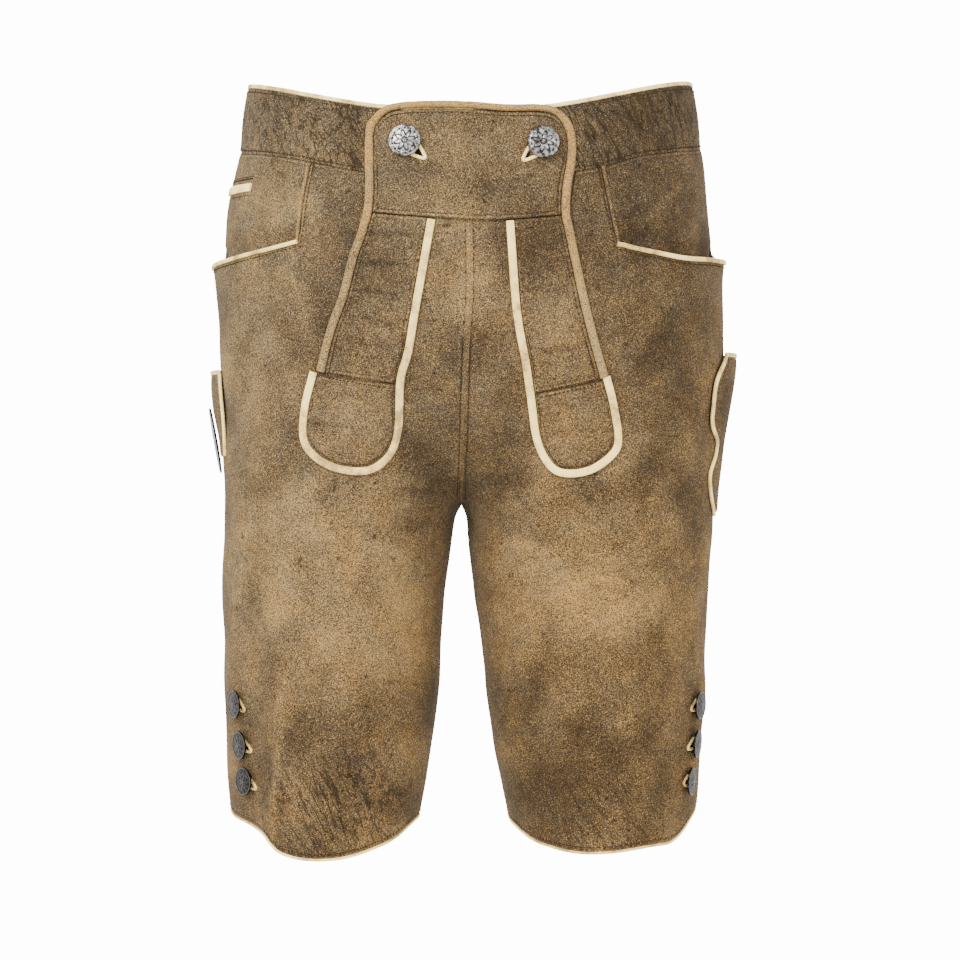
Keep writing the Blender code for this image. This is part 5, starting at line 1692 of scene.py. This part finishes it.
# %% Side pockets
SIDE_POCKETS = {
    "right": (-0.200, -0.1850, -0.2430),
    "left": (-0.230, -0.1725, -0.2830),
}
WAY_COLUMNS = ("way", "right", "left")
POCKET_EDGE = (
    WAY_COLUMNS,
    (0.00, 0.118, 0.062),
    (0.12, 0.118, 0.121),
    (0.25, 0.118, 0.146),
    (0.37, 0.118, 0.115),
    (0.47, 0.118, 0.115),
    (0.55, 0.118, 0.156),
    (0.68, 0.118, 0.169),
    (0.87, 0.118, 0.156),
    (1.00, 0.118, 0.086),
)
POCKET_STAND = (
    WAY_COLUMNS,
    (0.00, 0.0002, 0.0018),
    (0.20, 0.0012, 0.0018),
    (0.40, 0.0034, 0.0024),
    (0.60, 0.0055, 0.0037),
    (0.80, 0.0066, 0.0067),
    (1.00, 0.0066, 0.0098),
)
POCKET_ARCH = 0.96
POCKET_ROUND = 0.6
POCKET_RIPPLE = 0.5
POCKET_DIP = 0.0005
SEAM_BLEND = 0.03
JUST_BEHIND = -1e-6
SIDE_TAPE_EXTRA = 0.0002


def normal_across(side, share, z):
    """The normal, blended over the side seam so that a patch can cross it."""
    mix = np.clip((np.asarray(share, float) + SEAM_BLEND) / (2 * SEAM_BLEND), 0, 1)[..., None]
    ahead = normal(side, np.maximum(share, 0.0), z)
    behind = normal(side, np.minimum(share, JUST_BEHIND), z)
    return unit(ahead * mix + behind * (1 - mix))


def stand_off(side, share, z, lift):
    """Places over the side seam without folds, moved out by lift."""
    return body(side, share, z) + normal_across(side, share, z) * np.asarray(lift)[..., None]


def side_pocket(side):
    """A patch that stands off by stand * sin(pi * arch * u)^round, more at its open top."""
    back, top, foot = SIDE_POCKETS[side]
    v = np.linspace(0, 1, 70)[:, None]
    u = np.linspace(0, 1, 44)[None]
    front = column(POCKET_EDGE, side, v)
    share = back + (front - back) * u
    z = np.broadcast_to(foot + (top - foot) * v, share.shape)
    stand = column(POCKET_STAND, side, v)
    lift = stand * np.sin(np.pi * POCKET_ARCH * u) ** POCKET_ROUND + GAP
    outer = stand_off(side, share, z, lift + LEATHER)
    inner = stand_off(side, share, z, lift)
    edge = border_distance(outer)
    out = unit(outer - inner)
    ripple = wrinkles(side, share, z) * POCKET_RIPPLE
    outer = outer + out * (seam_dip(edge, POCKET_DIP) + ripple)[..., None]
    inner = inner + out * ripple[..., None]
    leather = wall("side_patch_" + side, outer, inner, SKIN, edge, tone=crease_shading(ripple))
    dress(leather, "leather", "side_pocket_" + side)
    middle = (outer + inner) / 2
    line = np.vstack([middle[-1, :-1], middle[::-1, -1]])
    away = np.vstack([out[-1, :-1], out[::-1, -1]])
    across = sideways(line, away)
    across = across * np.sign(np.sum(across * (line - outer.mean((0, 1)))))
    line = line + across * (EDGE_HALF + GAP)
    profile = round_profile(EDGE_HALF + SIDE_TAPE_EXTRA, EDGE_THICK + SIDE_TAPE_EXTRA)
    tape = swept("side_tape_" + side, line, -sideways(line, away), away, profile, cream)
    dress(tape, "cream_trim", "side_pocket_piping_" + side)
    return leather


side_pockets = {side: side_pocket(side) for side in SIDES}
print("side pockets made")


# %% [markdown]
# ## Coin pocket
# A small welted slit on the right hip: a cream welt fills it and a stitched box holds it.

# %% Coin pocket welt
COIN_WELT_SHARES = (0.050, 0.245)
COIN_WELT_Z = -0.0543
COIN_WELT_HALF = 0.0028
COIN_WELT_SWELL = 0.0006
COIN_WELT_SUNK = 0.0001
COIN_SLIT_RISE = 0.0035
COIN_SLIT_SECTION = plump_profile(half=0.0006, height=0.0003)


def coin_welt():
    """A small cushion, swell * sin(pi v)^0.5 * sin(pi u)^0.2, and above it a dark bar, painted
    shadow in the slit.
    """
    u = np.linspace(0, 1, 30)
    v = np.linspace(0, 1, 12)[:, None]
    share = COIN_WELT_SHARES[0] + (COIN_WELT_SHARES[1] - COIN_WELT_SHARES[0]) * u
    z = COIN_WELT_Z + (2 * v - 1) * COIN_WELT_HALF + 0 * u
    share = np.broadcast_to(share, z.shape)
    ends = np.sin(np.pi * np.clip(u, 0.03, 0.97)) ** 0.2
    swell = COIN_WELT_SWELL * np.sin(np.pi * v) ** 0.5 * ends
    outer = hide("right", share, z, GAP + LEATHER * 0.6 + swell, with_gape=False)
    inner = hide("right", share, z, COIN_WELT_SUNK, with_gape=False)
    slit_z = z[-1] + COIN_SLIT_RISE
    low = hide("right", share[0], slit_z, COIN_WELT_SUNK, with_gape=False)
    out = normal("right", share[0], slit_z)
    slit = swept("coin_slit_shadow", low, sideways(low, out), out, COIN_SLIT_SECTION, thread_brown)
    dress(slit, "leather")
    tape = wall("coin_tape", outer, inner, (cream, cream), np.full(z.shape, FAR_FROM_EDGE))
    return dress(tape, "cream_trim", "coin_welt")


coin_welt()
print("coin pocket welt made")


# %% [markdown]
# ## Buttonholes and buttons
# The buttonholes are slits bound with cream leather. The flap buttons are cast pewter with a small
# alpine flower; the leg buttons are darker, with a pebbled ground. A caster cuts the relief in the
# mould; here it is a height written as a function of radius and angle, on a round grid.

# %% Buttonholes
SLIT_HALF = 0.0066
LEG_SLIT_HALF = 0.0036
SLIT_TIP = 0.0004
SLIT_TAPER = 0.75
SLIT_BEHIND = 0.0010
SLIT_ROUND = 0.7
SLIT_INSIDE = 0.78
FLAP_HOLE_REST = LAY + LEATHER + 0.0005
BINDING_HALF = 0.0012
BINDING_HEIGHT = 0.0016
BINDING_SUNK = 0.0002
FLAP_BUTTONS = (
    ("side", "x", "z", "slit_x", "slit_z"),
    ("right", -0.0402, -0.0274, -0.0268, -0.0390),
    ("left", 0.0535, -0.0283, 0.0402, -0.0402),
)
LEG_BUTTONS = (
    ("side", "row", "share", "z", "ahead", "drop", "swing"),
    ("right", 1, 0.213, -0.4182, 0.024, 0.0042, 5.0),
    ("right", 2, 0.232, -0.4470, 0.033, 0.0038, 4.0),
    ("right", 3, 0.246, -0.4722, 0.040, 0.0048, 0.0),
    ("left", 1, 0.165, -0.4195, 0.028, 0.0026, 1.0),
    ("left", 2, 0.172, -0.4468, 0.029, 0.0030, 7.0),
    ("left", 3, 0.200, -0.4730, 0.020, 0.0014, 9.0),
)


def slit_loop(start, end, half, count=72):
    """A loop round a pulled-open buttonhole, half as wide as (half - tip) * (1 - t)^taper + tip."""
    along = end - start
    length = np.linalg.norm(along)
    along = along / length
    across = np.array([-along[1], along[0]])
    t = np.linspace(0, 1, 24)
    width = (half - SLIT_TIP) * (1 - t) ** SLIT_TAPER + SLIT_TIP
    lower = np.stack([t * length, -width], 1)
    bend = np.linspace(np.pi / 2, 3 * np.pi / 2, 12)[1:-1]
    behind = np.stack([half * SLIT_ROUND * np.cos(bend), half * np.sin(bend)], 1)
    places = np.vstack([lower, lower[::-1] * [1, -1], behind])
    loop = start + places[:, :1] * along + places[:, 1:] * across
    return resample(np.vstack([loop, loop[:1]]), count + 1)[:-1]


def binding(name, low, high, node_name):
    """Cream binding round a buttonhole and, inside it, a flat dark sheet of painted shadow."""
    out = unit(high - low)
    across = sideways(low, out, closed=True)
    section = plump_profile(BINDING_HALF, BINDING_HEIGHT)
    tape = swept(name, low - out * BINDING_SUNK, across, out, section, cream, closed=True)
    dress(tape, "cream_trim", node_name)
    middle = low.mean(0)
    rim = middle + (low - middle) * SLIT_INSIDE + out * GAP
    base = middle + (low - middle) * SLIT_INSIDE - out * GAP
    points = np.vstack([rim, base, [rim.mean(0)], [base.mean(0)]])
    faces = turn_out(points, ring_faces(2, len(rim)))
    return dress(put_in_scene(name + "_slit", points, faces, (slit_shadow,)), "leather")


for place in named_rows(FLAP_BUTTONS):
    start = np.array([place["x"], place["z"]])
    apex = np.array([place["slit_x"], place["slit_z"]])
    toward = (apex - start) / np.linalg.norm(apex - start)
    loop = slit_loop(start - toward * SLIT_BEHIND, apex, SLIT_HALF)
    low = on_front(loop, FLAP_HOLE_REST)
    high = on_front(loop, FLAP_HOLE_REST + LEATHER)
    binding("flap_hole_" + place["side"], low, high, "flap_binding_" + place["side"])
for place in named_rows(LEG_BUTTONS):
    side = place["side"]
    ahead = hide(side, place["share"] + place["ahead"], place["z"])
    reach = float(np.linalg.norm(ahead - hide(side, place["share"], place["z"])))
    apex = np.array([reach, -place["drop"]])
    loop = slit_loop(np.array([-SLIT_BEHIND, 0.0]), apex, LEG_SLIT_HALF)
    share = place["share"] + loop[:, 0] * place["ahead"] / reach
    z = place["z"] + loop[:, 1]
    mark = side + "_" + str(place["row"])
    low = hide(side, share, z)
    high = hide(side, share, z, LEATHER)
    binding("leg_hole_" + mark, low, high, "leg_binding_" + mark)
print("buttonholes bound")

# %% Button reliefs
PETAL_FOOT = 0.34
HEART_EDGE = 0.20
BEAD_RING = 0.80


def petal_reach(angle):
    """How far the petals reach towards the rim: foot * (1 + |cos 4a|^1.5), which makes eight."""
    return PETAL_FOOT + PETAL_FOOT * np.abs(np.cos(4 * angle)) ** 1.5


def flower(radius, angle):
    """Relief of a small alpine flower: eight pointed petals, a seeded heart and a ring of beads."""
    petal = np.abs(np.cos(4 * angle))
    blade = smooth((petal_reach(angle) - radius) / 0.10) * (0.55 + 0.45 * petal)
    vein = -0.25 * np.exp(-((1 - petal) * 6) ** 2)
    blade = blade * (1 + vein * (radius > 0.22)) * smooth((radius - 0.14) / 0.06)
    seeds = 0.5 + 0.5 * np.cos(6 * angle) * np.sin(radius * 60)
    heart = smooth((HEART_EDGE - radius) / 0.05) * (0.6 + 0.5 * seeds)
    beads = np.exp(-((radius - BEAD_RING) / 0.045) ** 2) * (0.5 + 0.5 * np.cos(28 * angle)) * 0.8
    rim = smooth((radius - 0.90) / 0.04)
    return blade + heart + beads + rim * 0.8


def pewter_shine(radius, angle):
    """Pewter is bright where it is rubbed and dark in the grooves round petals, heart and beads."""
    groove = np.exp(-((radius - petal_reach(angle)) / 0.085) ** 2)
    heart = np.exp(-((radius - 0.17) / 0.05) ** 2)
    ring = np.exp(-((radius - BEAD_RING) / 0.06) ** 2) * (0.5 + 0.5 * np.cos(14 * angle))
    return 0.45 - 0.45 * np.maximum(np.maximum(groove, ring), heart)


def pebbles(radius, angle):
    """Relief of a pebbled ground in a plain ring, with a plain star in the middle."""
    x = radius * np.cos(angle) * 15
    y = radius * np.sin(angle) * 15
    ground = np.sin(x + np.sin(y * 0.9)) * np.sin(y * 1.1 + np.cos(x * 0.8)) * 0.5 + 0.5
    star = smooth((0.28 + 0.14 * np.cos(6 * angle) - radius) / 0.08)
    rim = smooth((radius - 0.88) / 0.05)
    return np.where(radius < 0.86, ground * 0.7 * (1 - star), 0.0) + star * 0.9 + rim


def pebble_shine(radius, angle):
    """Gunmetal is dark between its pebbles."""
    return 0.10 + 0.62 * pebbles(radius, angle)


petal_heights = flower(np.linspace(0, 1, 50), np.zeros(50))
print("the flower's relief runs to", round(float(petal_heights.max()), 2))

# %% Buttons
SHANK_RADIUS = 0.0014
SHANK_HEIGHT = 0.0025
RIM_HEIGHT = 0.0014
BUTTON_BACK = ((1.015, 0.0012), (1.02, 0.0008), (1.0, 0.0003), (0.93, 0.0))
PEWTER_BUTTON = {
    "radius": 0.0110, "relief": flower, "shine": pewter_shine, "height": 0.00055, "dome": 0.0012,
    "finish": pewter, "slot": "pewter", "rim_shine": 0.30,
}
DARK_BUTTON = {
    "radius": 0.0098, "relief": pebbles, "shine": pebble_shine, "height": 0.00045, "dome": 0.0008,
    "finish": gunmetal, "slot": "gunmetal", "rim_shine": 0.80,
}
BACK_SHINE = 0.2
CROWN_SHINE = 0.6
SPOKES = 112
RINGS = 44


def swung(way, degrees):
    """A direction turned about the upright axis: (x cos a - y sin a, x sin a + y cos a, z)."""
    turn = math.radians(degrees)
    x = way[0] * math.cos(turn) - way[1] * math.sin(turn)
    y = way[0] * math.sin(turn) + way[1] * math.cos(turn)
    return np.array([x, y, way[2]])


def button(name, centre, out, kind, turn, node_name):
    """Rings at dome * (1 - r^2) + height * relief from crown to rim, then back down the shank."""
    angle = np.linspace(0, 2 * np.pi, SPOKES, endpoint=False)
    r, a = np.meshgrid(np.linspace(0, 1, RINGS)[1:], angle, indexing="ij")
    base = SHANK_HEIGHT + RIM_HEIGHT
    carve = kind["relief"](r, a + turn)
    rings = [(r * kind["radius"], base + kind["dome"] * (1 - r ** 2) + kind["height"] * carve)]
    back = [(wide * kind["radius"], SHANK_HEIGHT + up) for wide, up in BUTTON_BACK]
    for wide, up in back + [(SHANK_RADIUS, SHANK_HEIGHT), (SHANK_RADIUS, 0.0)]:
        rings.append((np.full((1, SPOKES), wide), np.full((1, SPOKES), up)))
    radii = np.concatenate([ring[0] for ring in rings])
    ups = np.concatenate([ring[1] for ring in rings])
    first = unit(np.cross(out, [0.0, 0.0, 1.0]))
    second = np.cross(out, first)
    spoke = np.cos(angle)[:, None] * first + np.sin(angle)[:, None] * second
    points = centre + spoke[None] * radii[..., None] + out * ups[..., None]
    middle = kind["relief"](np.zeros(1), np.zeros(1))[0]
    top = centre + out * (base + kind["dome"] + kind["height"] * middle)
    points = np.vstack([points.reshape(-1, 3), [top], [centre]])
    shine = np.clip(kind["shine"](r, a + turn), 0.0, 1.0)
    shine = shine + (kind["rim_shine"] - shine) * smooth((r - 0.88) / 0.06)
    shine = np.concatenate([shine, np.full((len(radii) - len(shine), SPOKES), BACK_SHINE)])
    shine = np.concatenate([shine.reshape(-1), [CROWN_SHINE, BACK_SHINE]])
    faces = turn_out(points, ring_faces(len(radii), SPOKES))
    piece = put_in_scene(name, points, faces, (kind["finish"],), attributes={"relief": shine})
    return dress(piece, kind["slot"], node_name)


for place in named_rows(FLAP_BUTTONS):
    side = place["side"]
    spot = np.array([[place["x"], place["z"]]])
    base = on_front(spot, LAY + LEATHER + GAP)[0]
    out = unit(on_front(spot, LAY + 2 * LEATHER)[0] - base)
    name = "pewter_button_" + side
    button(name, base, out, PEWTER_BUTTON, 0.25 * SIDES[side], "flap_button_" + side)
for place in named_rows(LEG_BUTTONS):
    side = place["side"]
    mark = side + "_" + str(place["row"])
    base = hide(side, place["share"], place["z"], GAP)
    out = swung(normal(side, place["share"], place["z"]), SIDES[side] * place["swing"])
    name = "dark_button_" + mark
    button(name, base, out, DARK_BUTTON, 0.4 * place["row"], "leg_button_" + mark)
print("buttons cast")


# %% [markdown]
# ## Side plate
# A thin stamped oval stands off the right side pocket: its foot meets the leather and its top leans
# away. It is made like the buttons, as rings from a middle point to the rim and round to the back.

# %% Side plate
PLATE_HALF_HEIGHT = 0.0236
PLATE_HALF_WIDTH = 0.0110
PLATE_THICK = 0.0012
PLATE_CENTRE = (0.020, -0.2316)
PLATE_LIFT_TOP = 0.0096
PLATE_LIFT_FOOT = 0.0026
PLATE_TURN = 8.0
PLATE_SPOKES = 72
PLATE_RINGS = 26
PLATE_BACK = [1.0, 0.97, 0.5]
PLATE_RELIEF = 0.0003
FIELD_HIGHLIGHT = 0.85
PLATE_EDGE_SHINE = 0.10


def side_plate():
    """An oval of rings: raised rim, sunk field, plain stamped star, then the back."""
    share, z = PLATE_CENTRE
    top = stand_off("right", share, z + PLATE_HALF_HEIGHT, PLATE_LIFT_TOP)
    foot = stand_off("right", share, z - PLATE_HALF_HEIGHT, PLATE_LIFT_FOOT)
    up = (top - foot) / 2
    out = unit(np.cross(up, [0.0, 1.0, 0.0]))
    out = -out * np.sign(out[0])
    ahead = np.cross(unit(up), out)
    ahead = -ahead * np.sign(ahead[1])
    turn = math.radians(PLATE_TURN)
    across = (ahead * math.cos(turn) - out * math.sin(turn)) * PLATE_HALF_WIDTH
    out = out * math.cos(turn) + ahead * math.sin(turn)
    angle = np.linspace(0, 2 * np.pi, PLATE_SPOKES, endpoint=False)
    reach = np.concatenate([np.linspace(0, 1, PLATE_RINGS)[1:], PLATE_BACK])
    r, a = np.meshgrid(reach, angle, indexing="ij")
    lift = PLATE_RELIEF * (smooth((r - 0.82) / 0.06) - smooth((r - 0.97) / 0.03))
    lift = lift + PLATE_RELIEF * smooth((0.30 + 0.16 * np.cos(5 * a) - r) / 0.1)
    lift[-3] = -PLATE_THICK * 0.3
    lift[-2:] = -PLATE_THICK
    oval = np.sin(angle)[:, None] * up + np.cos(angle)[:, None] * across
    middle = (top + foot) / 2
    points = (middle + oval[None] * r[..., None] + out * lift[..., None]).reshape(-1, 3)
    points = np.vstack([points, [middle + out * PLATE_RELIEF], [middle - out * PLATE_THICK]])
    # The field's bright colour is a painted highlight; the colour darkens towards the rim.
    shine = FIELD_HIGHLIGHT - 0.80 * smooth((r - 0.78) / 0.08)
    shine[-2:] = PLATE_EDGE_SHINE
    shine = np.concatenate([shine.reshape(-1), [FIELD_HIGHLIGHT, PLATE_EDGE_SHINE]])
    faces = turn_out(points, ring_faces(len(r), PLATE_SPOKES))
    piece = put_in_scene("oval_plate", points, faces, (pewter,), attributes={"relief": shine})
    return dress(piece, "gunmetal", "side_plate")


side_plate()
print("side plate made")


# %% [markdown]
# ## Stitches
# A saddler's machine puts a stitch every 3 mm. Each is a little spindle of thread: two rings of
# five points between two tips. All stitches of one seam are one mesh, made by copying the spindle
# along the seam.

# %% Stitch builder
STITCH_PITCH = 0.0030
STITCH_SHARE = 0.72
STITCH_RADIUS = 0.00038
RING_PLACES = (-0.55, 0.55)
RING_POINTS = 5


def stitch_row(name, line, out):
    """Straight spindles along a line, one per pitch; each one's two tips are sunk by its radius."""
    count = max(2, int(line_length(line) / STITCH_PITCH))
    both = resample(np.hstack([line, out]), 2 * count + 1)
    centres = both[1::2, :3]
    up = unit(both[1::2, 3:])
    run = unit(both[2::2, :3] - both[:-2:2, :3])
    across = unit(np.cross(up, run))
    angle = np.linspace(0, 2 * np.pi, RING_POINTS, endpoint=False)
    ring = np.cos(angle)[:, None, None] * across + np.sin(angle)[:, None, None] * up
    half = STITCH_PITCH * STITCH_SHARE / 2
    points = []
    for step in RING_PLACES:
        points.extend(centres + run * half * step + spoke * STITCH_RADIUS for spoke in ring)
    tips = [centres - run * half - up * STITCH_RADIUS, centres + run * half - up * STITCH_RADIUS]
    points = np.stack(points + tips, 1)
    base = np.arange(len(centres))[:, None, None] * points.shape[1]
    parts = ring_faces(len(RING_PLACES), RING_POINTS)
    faces = [(base + part).reshape(-1, part.shape[1]) for part in parts]
    flat = points.reshape(-1, 3)
    piece = put_in_scene(name, flat, turn_out(flat, faces), (thread_brown,))
    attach(piece, "root")
    return piece


def front_stitches(name, line, lift):
    """Stitches along a flat line over the front."""
    low = on_front(line, lift)
    return stitch_row(name, low, unit(on_front(line, lift + LOOK_UP) - low))


def round_stitches(name, side, share, z, lift=0.0, with_gape=True):
    """Stitches along shares and heights of one side."""
    low = hide(side, share, z, lift, with_gape)
    return stitch_row(name, low, normal(side, share, z))


# %% Stitches on the fall front
ON_PATCH = LAY + LEATHER + 0.00015
ON_SEAM = ON_PATCH + 0.0003
INSIDE_FLAP = FLAP_TRIM_HALF + 0.0029
INSIDE_STRIP = STRIP_TRIM_HALF + 0.0016
OVER_SEAM = 0.0026
UNDER_JOIN = 0.0024
JOIN_END = 0.005
front_stitches("stitch_flap", beside(trace(FLAP_TRIM, 600), -INSIDE_FLAP), ON_PATCH)
seam_line = trace(FLAP_SEAM, 160)[6:-6]
front_stitches("stitch_flap_foot", seam_line + np.array([0.0, OVER_SEAM]), ON_SEAM)
for side, sign in SIDES.items():
    inside = beside(trace(STRIP_TRIM[side], 400), sign * INSIDE_STRIP)
    front_stitches("stitch_strip_" + side, inside[4:-4], ON_PATCH)
    inner_z, outer_z = STRIP_JOIN[side]
    inner_x = STRIP_TRIM[side][3][0]
    outer_x = FLAP_TRIM[0][0] if side == "right" else FLAP_TRIM[-1][0]
    ends = np.array([[inner_x + sign * JOIN_END, inner_z], [outer_x - sign * JOIN_END, outer_z]])
    ends = ends - [0.0, UNDER_JOIN]
    front_stitches("stitch_join_" + side, resample(ends, 60), ON_PATCH)
print("fall front stitched")

# %% Stitches on the seams
NEAR_SEAT = -0.985
BAND_LIFT = 0.0003
BESIDE_CENTRE = 0.0028
BESIDE_SEAT = 0.9905
ABOVE_SEAM = 0.0024
BELOW_TOP = 2 * EDGE_HALF + 0.0028
ABOVE_HEM = 2 * HEM_HALF + 0.0030
BELOW_MOUTH = 2 * MOUTH_HALF + 0.0014
BEHIND_HIP = 0.0100
BAND_SEAMS = (
    ("stitch_waist_", 0.60, WAIST_SEAM, ABOVE_SEAM),
    ("stitch_top_", 0.62, TOP_EDGE, -BELOW_TOP),
)
for side, sign in SIDES.items():
    z = np.linspace(-0.083, CROTCH_Z + 0.004, 220)
    centre_x = column(SECTIONS, "centre", z)
    share = share_at(side, centre_x + sign * BESIDE_CENTRE, z)
    round_stitches("stitch_centre_" + side, side, share, z)
    for name, end, table, offset in BAND_SEAMS:
        share = round_shares(NEAR_SEAT, end, 160, 120)
        z = level(side, share, table, offset)
        round_stitches(name + side, side, share, z, BAND_LIFT, with_gape=False)
    share = round_shares(-0.99, 0.99, 160, 160)
    z = level(side, share, HEM, ABOVE_HEM)
    round_stitches("stitch_hem_" + side, side, share, z)
    z = np.linspace(-0.100, -0.038, 60)
    share = column(HIP_SEAM, side, z) + BEHIND_HIP
    round_stitches("stitch_hip_" + side, side, share, z)
    end = float(column(HIP_SEAM, side, -0.098))
    share = np.linspace(0.02, end, 120)
    z = level(side, share, POCKET_MOUTH, -BELOW_MOUTH)
    round_stitches("stitch_mouth_" + side, side, share, z)
    z = np.linspace(-0.035, CROTCH_Z + 0.01, 240)
    round_stitches("stitch_seat_" + side, side, np.full(z.shape, -BESIDE_SEAT), z)
COIN_SHARES = (0.045, 0.250)
COIN_DROPS = (0.0078, -0.0056)
there = np.linspace(*COIN_SHARES, 50)
share = np.concatenate([there, np.full(10, COIN_SHARES[1]), np.linspace(*COIN_SHARES[::-1], 50)])
high, low = COIN_DROPS
drop = np.concatenate([np.full(50, high), np.linspace(high, low, 10), np.full(50, low)])
round_stitches("stitch_coin", "right", share, COIN_WELT_Z + drop, with_gape=False)
print("seams stitched")


# %% [markdown]
# ## Leather done


print("leather pieces made")

# %% [markdown]
# ## Studio
# A plain pale floor below and a lit card far behind, one broad soft light from above left, one from
# the right, and a bright even surround, so that the shadows stay soft. The camera stands well away
# with a long lens, level with the middle; its lens is sensor * distance / width, so that the frame
# is as wide as the width it looks at.

# %% Backdrop
SHEET_COLOUR = (0.90, 0.90, 0.90)
CARD_GLOW = 12.5


def plain_sheet(name, corners, glow=0.0):
    """A flat square in one pale colour; glow makes it a lit card."""
    material = bpy.data.materials.new(name)
    material.use_nodes = True
    shader = material.node_tree.nodes["Principled BSDF"]
    shader.inputs["Base Color"].default_value = (*SHEET_COLOUR, 1.0)
    shader.inputs["Roughness"].default_value = 0.9
    shader.inputs["Emission Color"].default_value = (1.0, 1.0, 1.0, 1.0)
    shader.inputs["Emission Strength"].default_value = glow
    return put_in_scene(name, np.array(corners, float), [np.array([[0, 1, 2, 3]])], (material,))


floor = plain_sheet("floor", [(-2, -2, -0.95), (2, -2, -0.95), (2, 1, -0.95), (-2, 1, -0.95)])
card_corners = [(-1.6, 8, -1.9), (1.6, 8, -1.9), (1.6, 8, 1.4), (-1.6, 8, 1.4)]
card = plain_sheet("lit_card", card_corners, CARD_GLOW)
print("backdrop placed; the card glows at", CARD_GLOW)

# %% Lights
MIDDLE = (0.0, 0.0, -0.25)
WORLD_STRENGTH = 1.9


def soft_light(name, place, size, watts):
    """A square area light, turned by acos(-z) and atan2(-x, y) of its way to the middle."""
    data = bpy.data.lights.new(name, "AREA")
    data.shape = "SQUARE"
    data.size = size
    data.energy = watts
    lamp = bpy.data.objects.new(name, data)
    lamp.location = place
    way = np.array(MIDDLE) - np.array(place)
    way = way / np.linalg.norm(way)
    lamp.rotation_euler = (math.acos(-way[2]), 0.0, math.atan2(-way[0], way[1]))
    bpy.context.scene.collection.objects.link(lamp)
    return lamp


key = soft_light("key", place=(-1.3, -2.0, 1.3), size=1.0, watts=105.0)
fill = soft_light("fill", place=(1.6, -1.8, 0.5), size=1.6, watts=22.0)
world = bpy.data.worlds.new("studio")
bpy.context.scene.world = world
world.use_nodes = True
background = world.node_tree.nodes["Background"]
background.inputs["Color"].default_value = (1.0, 1.0, 1.0, 1.0)
background.inputs["Strength"].default_value = WORLD_STRENGTH
print("watts:", key.data.energy, fill.data.energy)

# %% Camera
CAMERA_X = 0.0108
CAMERA_Z = -0.260
CAMERA_DISTANCE = 2.6
SENSOR_WIDTH = 36.0
FRAME_PIXELS = 960
METRES_PER_PIXEL = 0.00072
FRAME_WIDTH = FRAME_PIXELS * METRES_PER_PIXEL
camera = bpy.data.objects.new("camera", bpy.data.cameras.new("camera"))
camera.location = (CAMERA_X, -CAMERA_DISTANCE, CAMERA_Z)
camera.rotation_euler = (math.pi / 2, 0.0, 0.0)
camera.data.sensor_width = SENSOR_WIDTH
camera.data.lens = SENSOR_WIDTH * CAMERA_DISTANCE / FRAME_WIDTH
bpy.context.scene.collection.objects.link(camera)
bpy.context.scene.camera = camera
print("studio ready; lens", round(camera.data.lens, 1))
